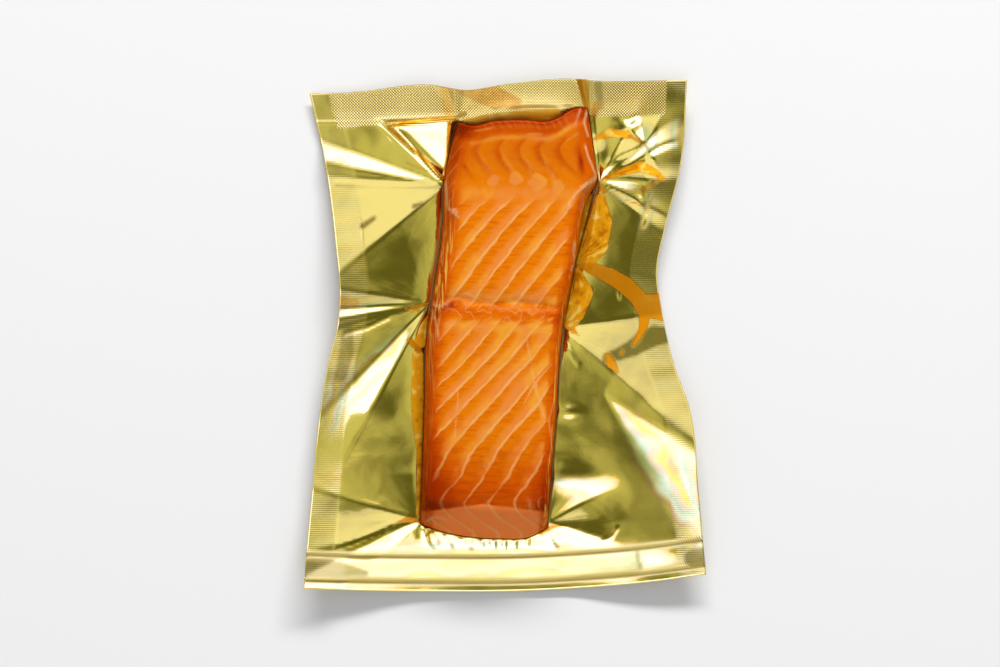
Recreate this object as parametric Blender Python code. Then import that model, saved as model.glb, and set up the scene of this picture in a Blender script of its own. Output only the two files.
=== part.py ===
# Vacuum pouch with a strip of smoked salmon sealed in it, lying flat with its clear side up.
# Units are metres, +Z up. The origin is the middle of the footprint, on the table.
# The sealed pouch is one solid: a thin crumpled rim of two welded films round the fillet they cling to.

import bpy
import numpy as np

MM = 0.001

# The pouch as it lies, drawn in by the vacuum. Each edge is a smooth curve through a few places.
# Sides are (y, x) pairs from bottom to top, ends are (x, y) pairs from left to right.
LEFT_EDGE = ((-100.8, -80.4), (-67.5, -77.8), (-27.5, -73.8), (-11.5, -71.0), (4.5, -67.0),
             (16.5, -66.1), (36.5, -67.8), (68.5, -72.2), (97.3, -78.6))
RIGHT_EDGE = ((-95.2, 80.2), (-59.5, 76.6), (-27.5, 73.0), (-11.5, 67.4), (12.5, 62.2),
              (24.5, 60.6), (44.5, 64.2), (68.5, 70.2), (102.5, 72.6))
TOP_EDGE = ((-78.6, 97.3), (-62.0, 97.8), (-27.4, 100.4), (-18.0, 98.6), (1.8, 101.0),
            (26.0, 103.0), (34.0, 102.4), (72.6, 102.5))
BOTTOM_EDGE = ((-80.4, -100.8), (-54.0, -102.0), (-30.0, -102.5), (6.0, -102.4), (33.8, -100.8),
               (57.8, -98.4), (80.2, -95.2))

# The line round the fillet where the two films meet.
FILLET_LEFT = ((-75.0, -34.2), (-33.5, -32.6), (2.5, -31.2), (13.3, -29.6), (44.5, -25.2),
               (60.5, -24.8), (86.0, -19.2))
FILLET_RIGHT = ((-75.0, 16.8), (-33.5, 20.0), (2.5, 22.8), (30.0, 28.0), (57.0, 34.0),
                (62.0, 36.6), (68.0, 36.0), (90.0, 33.0))
FILLET_TOP = ((-19.2, 86.0), (-14.0, 88.2), (30.0, 91.6), (33.0, 91.2))
FILLET_BOTTOM = ((-34.2, -75.0), (-27.4, -77.5), (-2.0, -81.0), (9.8, -80.3), (16.8, -76.5))

# Height of the fillet's top along its length, (y, z) from the belly end to the back end.
FILLET_THICKNESS = ((-82.0, 14.2), (-67.0, 16.9), (-50.0, 18.0), (-10.0, 18.8), (30.0, 19.2),
                    (60.0, 19.0), (76.0, 18.2), (84.0, 17.2), (92.0, 15.0))
CROWN = 0.9 * MM
SEAM_AT = 13.0 * MM
SEAM_TILT = -0.06
SEAM_DEPTH = 0.6 * MM
SEAM_HALF_WIDTH = 3.6 * MM

# Width of the sloping flanks seen from above, at the belly end and at the back end.
LEFT_FLANK = (3.6 * MM, 6.2 * MM)
RIGHT_FLANK = (2.6 * MM, 4.8 * MM)
TOP_FLANK = 5.0 * MM
BOTTOM_FLANK = 14.0 * MM
FLANK_ROUNDNESS = 2.2
BELLY_ROUNDNESS = 1.7
UNDER_EDGE = 6.0 * MM

# The rim: two films of welded foil, thicker here than the real 0.2 mm so that the solid is sound.
FILM = 0.5 * MM
LEAST_CLEARANCE = 0.35 * MM
FLOOR_SOFTNESS = 0.6 * MM

# Height at which the films part along the fillet's sides, and their further rise, as (y, height).
LEFT_PART = ((-100, 3.5), (-60, 3.0), (-10, 3.0), (20, 4.0), (60, 4.5), (100, 4.0))
LEFT_RISE = ((-100, 1.0), (-60, 1.5), (-10, 1.5), (20, 0.7), (60, 0.7), (100, 0.7))
RIGHT_PART = ((-100, 3.5), (-60, 4.6), (-10, 4.4), (10, 2.8), (50, 1.8), (70, 4.0), (100, 4.0))
RIGHT_RISE = ((-100, 0.8), (-60, 0.4), (-10, 0.4), (8, 2.2), (30, 3.4), (52, 3.6), (66, 0.8), (100, 0.8))
LEFT_RISE_OVER = 4.6 * MM
RIGHT_RISE_OVER = 8.5 * MM
SIDE_BLEND = 8.0 * MM

# Film that comes down from the fillet's ends like an apron, and the lower flap's lean to its edge.
APRON_START = 20.0 * MM
TOP_APRON = {"middle": 8.0, "half_width": 30.0, "rise": 2.2, "fall": 9.0}
BOTTOM_APRON = {"middle": -8.0, "half_width": 30.0, "rise": 2.0, "fall": 7.0}
BOTTOM_LEAN = {"middle": -2.0, "half_width": 52.0, "drop": 3.2, "from": -74.0, "over": 28.0}
LARGEST_LEAN = 0.87
CORNER_LIFTS = (
    {"at": (-79.0, 98.0), "rise": 1.0, "reach": 30.0},
    {"at": (73.0, 102.0), "rise": 1.2, "reach": 24.0},
    {"at": (80.0, -96.0), "rise": 1.0, "reach": 34.0},
)

# Folds fan out from where the films are nipped against the fillet. Each fold is
# (bearing in degrees from +X, slope): height over distance along that bearing.
# The height levels off at the reach, and dies away at the fade where a fan has one.
FANS = (
    {"at": (-24.2, 60.5), "reach": 50.0,
     "folds": ((96, 0), (134, -0.05), (160, -0.09), (169, -0.02), (175, -0.03), (220, 0.10), (262, 0))},
    {"at": (-30.2, 13.3), "reach": 55.0, "fade": 74.0,
     "folds": ((110, 0), (171, -0.025), (184, 0.02), (189, -0.005), (195, 0.01), (226, -0.025),
               (241, 0.06), (262, 0.03), (300, 0))},
    {"at": (-33.8, -73.5), "reach": 50.0,
     "folds": ((84, 0), (164, -0.06), (196, 0.07), (206, 0.07), (220, 0), (262, 0))},
    {"at": (37.8, 62.5), "reach": 50.0, "fade": 34.0,
     "folds": ((-64, 0), (-40, 0), (-28, -0.05), (0, 0.07), (4, 0.07), (24, 0.01), (30, 0.04),
               (40, -0.04), (62, 0.07), (95, -0.07), (112, 0))},
    {"at": (28.2, 29.3), "reach": 50.0,
     "folds": ((-70, 0), (-40, 0.02), (-10, 0.05), (10, 0.04), (40, 0.02), (75, 0))},
    {"at": (22.6, 3.3), "reach": 55.0,
     "folds": ((-100, 0.02), (-41, 0.08), (9, -0.08), (40, -0.05), (80, 0))},
    {"at": (17.0, -74.3), "reach": 40.0, "fade": 26.0,
     "folds": ((-80, 0), (-34, 0), (-18, 0.07), (28, -0.1), (75, 0))},
    {"at": (39.0, -22.5), "reach": 75.0,
     "folds": ((-170, 0), (-58, -0.05), (-31, 0.06), (-10, 0.04), (60, 0))},
    {"at": (-19.0, 86.5), "reach": 30.0,
     "folds": ((50, 0), (78, -0.05), (96, 0.08), (112, -0.1), (126, 0))},
    {"at": (33.0, 89.7), "reach": 30.0,
     "folds": ((84, 0), (100, 0.2), (112, 0))},
    {"at": (55.8, 76.9), "reach": 30.0, "fade": 15.0,
     "folds": ((-90, 0), (-60, -0.1), (5, 0.12), (60, -0.06), (100, 0.1), (135, -0.12), (165, 0.05),
               (204, 0.0), (216, 0.09), (224, -0.02))},
)
CREASE_SOFTNESS = 3.0

# The three-cornered blister beside the fillet's upper left corner: a tilted flat, rolled on two sides.
POCKET = {"corners": ((-20.0, 86.5), (-48.0, 85.5), (-24.5, 63.0)), "height": 6.2, "tilt": (0.02, 0.28),
          "soft": 0.8, "roll": 1.0, "roll_width": 1.6, "near": 3.0}
DENTS = (
    {"at": (46.0, 87.5), "rise": 1.3, "size": (7.5, 4.6), "turn": 0.0},
    {"at": (51.5, 84.5), "rise": -0.8, "size": (3.4, 1.8), "turn": 35.0},
    {"at": (25.0, -56.0), "rise": 0.9, "size": (13.0, 5.0), "turn": -10.0},
)

# How many strips of the surface lie across each part, from left to right and from bottom to top.
RIM_COLUMNS = 17
FLANK_COLUMNS = 3
FILLET_COLUMNS = 6
BOTTOM_RIM_ROWS = 9
BOTTOM_FLANK_ROWS = 4
FILLET_ROWS = 38
TOP_FLANK_ROWS = 3
TOP_RIM_ROWS = 7

FOIL_GOLD = (0.72, 0.52, 0.13, 1.0)
FOIL_ROUGHNESS = 0.16


def smooth_curve(places):
    """A smooth function through (where, value) pairs in millimetres, level past the ends."""
    where, value = (np.array(column) * MM for column in zip(*places))
    tangent = np.gradient(value, where)

    def at(position):
        inside = np.clip(position, where[0], where[-1])
        low = np.clip(np.searchsorted(where, inside) - 1, 0, len(where) - 2)
        span = where[low + 1] - where[low]
        share = (inside - where[low]) / span
        start = value[low] * (1 + 2 * share) * (1 - share) ** 2
        end = value[low + 1] * share**2 * (3 - 2 * share)
        leaving = tangent[low] * span * share * (1 - share) ** 2
        arriving = tangent[low + 1] * span * share**2 * (share - 1)
        return start + end + leaving + arriving

    return at


left_edge, right_edge = smooth_curve(LEFT_EDGE), smooth_curve(RIGHT_EDGE)
top_edge, bottom_edge = smooth_curve(TOP_EDGE), smooth_curve(BOTTOM_EDGE)
fillet_left, fillet_right = smooth_curve(FILLET_LEFT), smooth_curve(FILLET_RIGHT)
fillet_top, fillet_bottom = smooth_curve(FILLET_TOP), smooth_curve(FILLET_BOTTOM)
fillet_thickness = smooth_curve(FILLET_THICKNESS)
left_part, left_rise = smooth_curve(LEFT_PART), smooth_curve(LEFT_RISE)
right_part, right_rise = smooth_curve(RIGHT_PART), smooth_curve(RIGHT_RISE)


def flank_widths(y):
    """Widths of the left and right flanks at y."""
    low, high = FILLET_LEFT[0][0] * MM, FILLET_LEFT[-1][0] * MM
    share = np.clip((y - low) / (high - low), 0, 1)
    return tuple(start + (end - start) * share for start, end in (LEFT_FLANK, RIGHT_FLANK))


def past_ends(x, y):
    """How far a place is above the fillet's top line and below its bottom line, negative inside."""
    return y - fillet_top(x), fillet_bottom(x) - y


def distance_outside(x, y):
    """How far a place is outside the line where the films meet, or 0 within it."""
    across = np.maximum(fillet_left(y) - x, x - fillet_right(y))
    along = np.maximum(*past_ends(x, y))
    return np.hypot(np.maximum(across, 0), np.maximum(along, 0))


def plateau(x, middle, half_width):
    """A flat-topped hill across x: 1 in the middle, dropping beyond the half width."""
    return np.exp(-(((x - middle * MM) / (half_width * MM)) ** 4))


def base_height(x, y):
    """The rim before its folds: the parting height, a rise beside the fillet, aprons and lean."""
    middle = (fillet_left(y) + fillet_right(y)) / 2
    right = 0.5 + 0.5 * np.tanh((x - middle) / SIDE_BLEND)
    part = left_part(y) * (1 - right) + right_part(y) * right
    rise = left_rise(y) * (1 - right) + right_rise(y) * right
    over = LEFT_RISE_OVER * (1 - right) + RIGHT_RISE_OVER * right
    height = part + rise * (1 - np.exp(-distance_outside(x, y) / over))
    for apron, past in zip((TOP_APRON, BOTTOM_APRON), past_ends(x, y)):
        inside = np.clip(1 + past / APRON_START, 0, 1)
        fall = np.exp(-np.maximum(past, 0) / (apron["fall"] * MM))
        spread = plateau(x, apron["middle"], apron["half_width"])
        height = height + apron["rise"] * MM * spread * inside * fall
    lean = BOTTOM_LEAN
    down = np.clip((lean["from"] * MM - y) / (lean["over"] * MM), 0, LARGEST_LEAN)
    return height - lean["drop"] * MM * plateau(x, lean["middle"], lean["half_width"]) * down


def fan_height(x, y, fan):
    """Height of one fan of folds: a slope that changes with the bearing, times a levelling distance."""
    run, rise = x - fan["at"][0] * MM, y - fan["at"][1] * MM
    bearings, slopes = np.array(fan["folds"], float).T
    bearing = np.degrees(np.arctan2(rise, run))
    offsets = np.linspace(-CREASE_SOFTNESS, CREASE_SOFTNESS, 5)
    nearby = [np.interp(bearing + offset, bearings, slopes, period=360) for offset in offsets]
    slope = sum(nearby) / len(nearby)
    distance = np.hypot(run, rise)
    level = distance / (1 + (distance / (fan["reach"] * MM)) ** 4) ** 0.25
    if "fade" in fan:
        level = level * np.exp(-((distance / (fan["fade"] * MM)) ** 4))
    return slope * level


def with_pocket(x, y, height, pocket):
    """The height with the blister's tilted flat inside its corners and its two rolled sides."""
    corners = np.array(pocket["corners"]) * MM
    inward = []
    for start, end in zip(corners, np.roll(corners, -1, 0)):
        along = (end - start) / np.hypot(*(end - start))
        inward.append((y - start[1]) * along[0] - (x - start[0]) * along[1])
    outer = np.minimum(inward[0], inward[1])
    nearest = np.minimum(outer, inward[2])
    share = np.clip(0.5 + nearest / (2 * pocket["soft"] * MM), 0, 1)
    share = share * share * (3 - 2 * share)
    centre = corners.mean(0)
    slope_x, slope_y = pocket["tilt"]
    flat = pocket["height"] * MM + slope_x * (x - centre[0]) + slope_y * (y - centre[1])
    roll = np.exp(-((outer / (pocket["roll_width"] * MM)) ** 2))
    near = np.clip(1 + np.minimum(inward[2], nearest + pocket["near"] * MM) / (pocket["near"] * MM), 0, 1)
    return height + share * (flat - height) + pocket["roll"] * MM * roll * near


def dent_height(x, y, dent):
    """An oval hill, or a hollow where its rise is negative, turned in the plane."""
    turn = np.radians(dent["turn"])
    run, rise = x - dent["at"][0] * MM, y - dent["at"][1] * MM
    along = (run * np.cos(turn) + rise * np.sin(turn)) / (dent["size"][0] * MM)
    across = (rise * np.cos(turn) - run * np.sin(turn)) / (dent["size"][1] * MM)
    return dent["rise"] * MM * np.exp(-(along**2) - across**2)


def rim_height(x, y):
    """Top of the rim: the base, lifted at the corners, folded by the fans, with its pocket and dents."""
    height = base_height(x, y)
    for lift in CORNER_LIFTS:
        away = np.hypot(x - lift["at"][0] * MM, y - lift["at"][1] * MM) / (lift["reach"] * MM)
        height = height + lift["rise"] * MM * np.exp(-(away**2))
    height = height + sum(fan_height(x, y, fan) for fan in FANS)
    height = with_pocket(x, y, height, POCKET)
    height = height + sum(dent_height(x, y, dent) for dent in DENTS)
    floor = FILM + LEAST_CLEARANCE
    return floor + FLOOR_SOFTNESS * np.logaddexp(0, (height - floor) / FLOOR_SOFTNESS)


def rounded(share, roundness):
    """A rounded shoulder: 0 at the foot, steep at first, and level at 1."""
    inside = np.clip(share, 0, 1)
    return (1 - (1 - inside) ** roundness) ** (1 / roundness)


def flank_shares(x, y):
    """How far up the nearest side flank, the top flank and the bottom flank a place is, from 0 to 1."""
    left_width, right_width = flank_widths(y)
    side = np.minimum((x - fillet_left(y)) / left_width, (fillet_right(y) - x) / right_width)
    return side, (fillet_top(x) - y) / TOP_FLANK, (y - fillet_bottom(x)) / BOTTOM_FLANK


def fillet_height(x, y):
    """Top of the film over the fillet, with its crown and the seam that crosses it."""
    middle = (fillet_left(y) + fillet_right(y)) / 2
    half_width = (fillet_right(y) - fillet_left(y)) / 2
    crown = CROWN * (1 - ((x - middle) / half_width) ** 2)
    from_seam = (y - SEAM_AT - SEAM_TILT * (x - middle)) / SEAM_HALF_WIDTH
    return fillet_thickness(y) + crown - SEAM_DEPTH * np.exp(-(from_seam**2))


def top_height(x, y):
    """The whole upper surface: the rim, and the fillet where it stands above the rim."""
    side, top, bottom = flank_shares(x, y)
    body = rounded(side, FLANK_ROUNDNESS) * rounded(top, FLANK_ROUNDNESS)
    body = body * rounded(bottom, BELLY_ROUNDNESS)
    rim = rim_height(x, y)
    return rim + (fillet_height(x, y) - rim) * body


def under_height(x, y):
    """The underside: flat on the table beneath the fillet, a film's thickness under the rim."""
    across = np.minimum(x - fillet_left(y), fillet_right(y) - x)
    along = -np.maximum(*past_ends(x, y))
    share = np.clip(np.minimum(across, along) / UNDER_EDGE, 0, 1)
    return (rim_height(x, y) - FILM) * (1 - np.sqrt(1 - (1 - share) ** 2))


def strips(*counts):
    """Places 0..1, 1..2 and so on, with each stretch cut into its count of strips."""
    stretches = [stretch + np.arange(count) / count for stretch, count in enumerate(counts)]
    return np.concatenate([*stretches, [len(counts)]])


def between(keys, place):
    """The point at a place among key lines: 1.25 is a quarter of the way from line 1 to line 2."""
    low = np.minimum(place.astype(int), len(keys) - 2)
    stacked = np.stack(np.broadcast_arrays(*keys))
    start = np.take_along_axis(stacked, low[None], 0)[0]
    end = np.take_along_axis(stacked, low[None] + 1, 0)[0]
    return start + (end - start) * (place - low)


def plan_grid():
    """x and y of the surface's points. Its strips follow the pouch's edges and the fillet's outline."""
    columns = strips(RIM_COLUMNS, FLANK_COLUMNS, FILLET_COLUMNS, FLANK_COLUMNS, RIM_COLUMNS)
    rows = strips(BOTTOM_RIM_ROWS, BOTTOM_FLANK_ROWS, FILLET_ROWS, TOP_FLANK_ROWS, TOP_RIM_ROWS)
    column, row = np.meshgrid(columns, rows)
    x = np.zeros_like(column)
    y = np.zeros_like(column)
    for _ in range(6):
        y = between((bottom_edge(x), fillet_bottom(x), fillet_bottom(x) + BOTTOM_FLANK,
                     fillet_top(x) - TOP_FLANK, fillet_top(x), top_edge(x)), row)
        left_width, right_width = flank_widths(y)
        x = between((left_edge(y), fillet_left(y), fillet_left(y) + left_width,
                     fillet_right(y) - right_width, fillet_right(y), right_edge(y)), column)
    return x, y


def closed_sheet(x, y, upper, under):
    """Points and faces of a closed solid between two surfaces over one grid, cut into triangles."""
    rows, columns = x.shape
    points = np.concatenate([np.stack([x, y, z], -1).reshape(-1, 3) for z in (upper, under)])
    index = np.arange(rows * columns).reshape(rows, columns)
    corners = (index[:-1, :-1], index[:-1, 1:], index[1:, 1:], index[1:, :-1])
    a, b, c, d = (corner.ravel() for corner in corners)
    top = np.concatenate([np.stack([a, b, c], 1), np.stack([a, c, d], 1)])
    ring = np.concatenate([index[0, :-1], index[:-1, -1], index[-1, :0:-1], index[:0:-1, 0]])
    following = np.roll(ring, -1)
    below = rows * columns
    side = np.concatenate([np.stack([ring + below, following + below, following], 1),
                           np.stack([ring + below, following, ring], 1)])
    return points, np.concatenate([top, top[:, ::-1] + below, side])


def foil_material():
    material = bpy.data.materials.new("pouch_foil")
    material.use_nodes = True
    shader = material.node_tree.nodes["Principled BSDF"]
    shader.inputs["Base Color"].default_value = FOIL_GOLD
    shader.inputs["Metallic"].default_value = 1.0
    shader.inputs["Roughness"].default_value = FOIL_ROUGHNESS
    return material


def make_pack():
    """The sealed pouch round its fillet, centred on its own footprint."""
    x, y = plan_grid()
    points, faces = closed_sheet(x, y, top_height(x, y), under_height(x, y))
    low, high = points.min(0), points.max(0)
    points[:, :2] -= ((low + high) / 2)[:2]
    mesh = bpy.data.meshes.new("vacuum_pack")
    mesh.from_pydata(points.tolist(), [], faces.tolist())
    mesh.validate()
    mesh.shade_smooth()
    mesh.set_sharp_from_angle(angle=np.radians(50))
    pack = bpy.data.objects.new("vacuum_pack", mesh)
    pack.data.materials.append(foil_material())
    bpy.context.scene.collection.objects.link(pack)
    return pack


for old in list(bpy.data.objects):
    bpy.data.objects.remove(old)
make_pack()
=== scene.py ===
import bpy
import numpy as np
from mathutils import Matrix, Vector


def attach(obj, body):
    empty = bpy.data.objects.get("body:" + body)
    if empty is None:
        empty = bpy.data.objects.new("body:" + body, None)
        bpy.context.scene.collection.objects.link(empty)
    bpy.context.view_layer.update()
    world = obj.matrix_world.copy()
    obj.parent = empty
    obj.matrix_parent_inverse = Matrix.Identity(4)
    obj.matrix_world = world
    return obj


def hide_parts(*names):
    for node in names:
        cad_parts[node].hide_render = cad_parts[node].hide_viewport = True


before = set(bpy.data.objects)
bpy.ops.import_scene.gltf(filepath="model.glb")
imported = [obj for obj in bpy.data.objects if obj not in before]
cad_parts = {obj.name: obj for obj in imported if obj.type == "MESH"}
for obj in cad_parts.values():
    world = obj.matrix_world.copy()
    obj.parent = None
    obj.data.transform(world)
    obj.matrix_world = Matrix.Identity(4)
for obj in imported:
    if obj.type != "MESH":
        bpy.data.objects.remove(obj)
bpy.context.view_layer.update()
mm = 0.001


# Eases from 0 at low to 1 at high, in numpy.
def easeTo(value, low, high):
    share = np.clip((value - low) / (high - low), 0, 1)
    return share * share * (3 - 2 * share)


# A bell-shaped weight around a middle.
def bell(value, middle, width):
    return np.exp(-(((value - middle) / width) ** 2))


# An amount times an eased step.
def someEase(value, amount, low, high):
    return amount * easeTo(value, low, high)


# An amount times a bell.
def someBell(value, amount, middle, width):
    return amount * bell(value, middle, width)


# Flat-topped hill across x: 1 in the middle, dropping beyond the half width.
def plateau(x, middle, halfWidth):
    return np.exp(-(((x - middle * mm) / (halfWidth * mm)) ** 4))


# Gives an operator that adds one Math node to the tree of the signal it is used on.
def mathsOperator(operation, swapped=False):
    # The two terms in the order in which they are written.
    def apply(self, other):
        return self.graph.maths(operation, *((other, self) if swapped else (self, other)))

    return apply


# A socket of a node tree that takes part in sums.
class Signal:
    def __init__(self, graph, socket):
        self.graph, self.socket = graph, socket

    __add__, __radd__ = mathsOperator("ADD"), mathsOperator("ADD", True)
    __sub__, __rsub__ = mathsOperator("SUBTRACT"), mathsOperator("SUBTRACT", True)
    __mul__, __rmul__ = mathsOperator("MULTIPLY"), mathsOperator("MULTIPLY", True)
    __pow__ = mathsOperator("POWER")

    # Another output of the same node.
    def other(self, output):
        return Signal(self.graph, self.socket.node.outputs[output])


# One node tree that starts empty.
class Graph:
    def __init__(self, tree):
        self.tree = tree
        tree.nodes.clear()

    # Adds a shader node with values or links on its sockets, and gives back one of its outputs.
    def node(self, kind, sockets=None, output=0, stops=(), **settings):
        made = self.tree.nodes.new("ShaderNode" + kind)
        for name, value in settings.items():
            setattr(made, name, value)
        for name, value in (sockets or {}).items():
            if isinstance(value, Signal):
                self.tree.links.new(value.socket, made.inputs[name])
            else:
                made.inputs[name].default_value = value
        for _ in stops[2:]:   # a new ramp has two stops
            made.color_ramp.elements.new(1)
        for number, (place, colour) in enumerate(stops):
            element = made.color_ramp.elements[number]
            element.position, element.color = place, (*colour, 1)
        return Signal(self, made.outputs[output]) if made.outputs else None

    # One sum, product or other operation of the terms.
    def maths(self, operation, *terms):
        return self.node("Math", dict(enumerate(terms)), operation=operation)

    # Eases from 0 at low to 1 at high, also when low is the larger.
    def ease(self, signal, low, high):
        sockets = {"Value": signal, "From Min": low, "From Max": high}
        return self.node("MapRange", sockets, interpolation_type="SMOOTHSTEP")

    # A mask that the mesh carries at its points.
    def attribute(self, name):
        return self.node("Attribute", output=2, attribute_name=name)

    def attributes(self, *names):
        return [self.attribute(name) for name in names]

    # Places in the piece's own metres.
    def places(self):
        return self.node("TexCoord", output=3)

    # Soft noise from 0 to 1, with the scale in waves for a metre.
    def noise(self, vector, scale, detail=2, roughness=0.5):
        sockets = {"Vector": vector, "Scale": scale, "Detail": detail, "Roughness": roughness}
        return self.node("TexNoise", sockets)

    # A colour between two: the first at 0, the second at 1.
    def blend(self, factor, first, second):
        ends = [value if isinstance(value, Signal) else (*value, 1) for value in (first, second)]
        first, second = 6, 7   # the node's colour sockets
        return self.node("Mix", {0: factor, first: ends[0], second: ends[1]}, 2, data_type="RGBA")

    # Colours laid over a first one, each given after its share.
    def layers(self, colour, *over):
        for share, upper in over:
            colour = self.blend(share, colour, upper)
        return colour

    # A place stretched or squeezed along each axis.
    def scaled(self, vector, x, y, z):
        return self.node("VectorMath", {0: vector, 1: (x, y, z)}, operation="MULTIPLY")

    # Shading slopes of a height, full at the distance.
    def bump(self, height, distance):
        return self.node("Bump", {"Height": height, "Distance": distance})


# A new material and its empty node tree.
def newMaterial(name):
    material = bpy.data.materials.new(name)
    material.use_nodes = True
    return material, Graph(material.node_tree)


# The pouch's outline and the films' least gaps.
pouch = {
    # sides as (y, x) from the bottom up, ends as (x, y) from left to right
    "leftEdge": ((-100.8, -80.4), (-67.5, -77.8), (-27.5, -73.8), (-11.5, -71), (4.5, -67),
                 (16.5, -66.1), (36.5, -67.8), (68.5, -72.2), (97.3, -78.6)),
    "rightEdge": ((-95.2, 80.2), (-59.5, 76.6), (-27.5, 73), (-11.5, 67.4), (12.5, 62.2),
                  (24.5, 60.6), (44.5, 64.2), (68.5, 70.2), (102.5, 72.6)),
    "topEdge": ((-78.6, 97.3), (-62, 97.8), (-27.4, 100.4), (-18, 98.6), (1.8, 101),
                (26, 103), (34, 102.4), (72.6, 102.5)),
    "bottomEdge": ((-80.4, -100.8), (-54, -102), (-30, -102.5), (6, -102.4), (33.8, -100.8),
                   (57.8, -98.4), (80.2, -95.2)),
    "filmThickness": 0.15,
    "clearance": 0.35,   # least height of the film over the table
    "floorSoftness": 0.6,
    "offTable": 0.05,   # least height of the gold film's underside
}
# The fillet's outline, thickness and rounded flanks.
fillet = {
    "left": ((-75, -34.2), (-33.5, -32.6), (2.5, -31.2), (13.3, -29.6), (44.5, -25.2),
             (60.5, -24.8), (86, -19.2)),
    "right": ((-75, 16.8), (-33.5, 20), (2.5, 22.8), (30, 28), (57, 34),
              (62, 36.6), (68, 36), (90, 33)),
    "top": ((-19.2, 86), (-14, 88.2), (30, 91.6), (33, 91.2)),
    "bottom": ((-34.2, -75), (-27.4, -77.5), (-2, -81), (9.8, -80.3), (16.8, -76.5)),
    "thickness": ((-82, 14.2), (-67, 16.9), (-50, 18), (-10, 18.8), (30, 19.2), (60, 19),
                  (76, 18.2), (84, 17.2), (92, 15)),
    "crown": 0.9,
    "seamAt": 13,
    "seamTilt": -0.06,
    "seamDepth": 0.4,
    "seamHalfWidth": 3.6,
    "leftFlank": (3.6, 6.2),   # width seen from above, at the belly end and at the back end
    "rightFlank": (2.6, 4.8),
    "topFlank": 3.4,
    "bottomFlank": 14,
    "flankRoundness": 2.2,
    "bellyRoundness": 1.7,
    "underEdge": 6,
    # how far the flesh ends short of the film's top line, as (x, distance); a fold of gold film is rolled
    # there
    "shortBy": ((-19, 0.6), (-14, 4.5), (-4, 5.7), (8, 6.9), (17.2, 7.3), (21, 5.6), (25.4, 2.4), (30, 0)),
    "endFlank": 1.6,
    "foldRise": 1.3,
    "foldFullAt": 3,   # the fold has its full rise where the flesh ends this far short
    "foldSpill": 0.4,
}
# The rim: how high the films part at the fillet's sides and how far they rise further out, as (y, height).
rim = {
    "leftPart": ((-100, 3.5), (-60, 3), (-10, 3), (20, 4), (60, 4.5), (100, 4)),
    "leftRise": ((-100, 1), (-60, 1.5), (-10, 1.5), (20, 0.7), (60, 0.7), (100, 0.7)),
    "rightPart": ((-100, 3.5), (-60, 4.6), (-10, 4.4), (10, 2.8), (50, 1.8), (70, 4), (100, 4)),
    "rightRise": ((-100, 0.8), (-60, 0.4), (-10, 0.4), (8, 2.2), (30, 3.4), (52, 3.6), (66, 0.8), (100, 0.8)),
    "riseOver": (4.6, 8.5),   # left and right
    "sideBlend": 8,
    "fanSamples": 5,
    "apronInside": 20,
    "bottomApron": {"middle": -8, "halfWidth": 30, "rise": 2, "fall": 7},
    "topApron": {"middle": 8, "halfWidth": 30, "rise": 2.2, "fall": 9},
    "bottomLean": {"middle": -2, "halfWidth": 52, "drop": 3.2, "from": -74, "over": 28, "most": 0.87},
    # lifted corners, and below hills and hollows, as (rise, x, y, half length, half width, turn in degrees)
    "lifts": ((1, -79, 98, 30, 30, 0), (1.2, 73, 102, 24, 24, 0), (1, 80, -96, 34, 34, 0)),
    # folds that fan out from the places where the films are nipped, as (x, y, reach, softness in degrees,
    # fade or 0, then pairs of a bearing in degrees from +x and a slope)
    "fans": (
        (-24.2, 60.5, 50, 1.2, 0, (96, 0), (134, -0.05), (160, -0.09), (169, -0.02), (175, -0.03),
         (220, 0.1), (262, 0)),
        (-30.2, 13.3, 55, 1.2, 74, (110, 0), (171, -0.025), (184, 0.02), (189, -0.005), (195, 0.01),
         (226, -0.025), (241, 0.06), (262, 0.03), (300, 0)),
        (-33.8, -73.5, 50, 1.2, 0, (84, 0), (164, -0.06), (196, 0.07), (206, 0.07), (220, 0), (262, 0)),
        (37.8, 62.5, 50, 1.5, 34, (-64, 0), (-40, 0), (-28, -0.05), (0, 0.07), (4, 0.07), (24, 0.01),
         (30, 0.04), (40, -0.04), (62, 0.07), (95, -0.07), (112, 0)),
        (28.2, 29.3, 50, 1.2, 0, (-70, 0), (-40, 0.02), (-10, 0.05), (10, 0.04), (40, 0.02), (75, 0)),
        (22.6, 3.3, 55, 1.2, 0, (-100, 0.02), (-41, 0.08), (9, -0.08), (40, -0.05), (80, 0)),
        (17, -74.3, 40, 1.2, 26, (-80, 0), (-34, 0), (-18, 0.07), (28, -0.1), (75, 0)),
        (39, -22.5, 75, 4, 0, (-170, 0), (-58, -0.05), (-31, 0.06), (-10, 0.04), (60, 0)),
        (-19, 86.5, 30, 2, 0, (50, 0), (78, -0.05), (96, 0.08), (112, -0.1), (126, 0)),
        (33, 89.7, 30, 2, 0, (84, 0), (100, 0.2), (112, 0)),
        (55.8, 76.9, 30, 2.5, 15, (-90, 0), (-60, -0.1), (5, 0.12), (60, -0.06), (100, 0.1), (135, -0.12),
         (165, 0.05), (204, 0), (216, 0.09), (224, -0.02)),
    ),
    "pocket": {"corners": ((-20, 86.5), (-48, 85.5), (-24.5, 63)), "height": 6.2, "tilt": (0.02, 0.28),
               "soft": 0.8, "roll": 1, "rollWidth": 1.6, "rollFade": 3},
    "dents": ((1.3, 46, 87.5, 7.5, 4.6, 0), (-0.8, 51.5, 84.5, 3.4, 1.8, 35), (0.9, 25, -56, 13, 5, -10),
              (0.5, -56, -63, 16, 9, 0), (1.3, -52, -85, 20, 12, 0), (-0.5, 61, -93.5, 7, 5, 0),
              (0.25, 50, -84, 12, 6, 0), (1.3, 36.5, 71.5, 4.5, 7, 0), (0.45, 25.2, -30, 4.6, 2.6, 0),
              (0.8, 46, 67, 8, 6, 20)),
}


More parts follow.
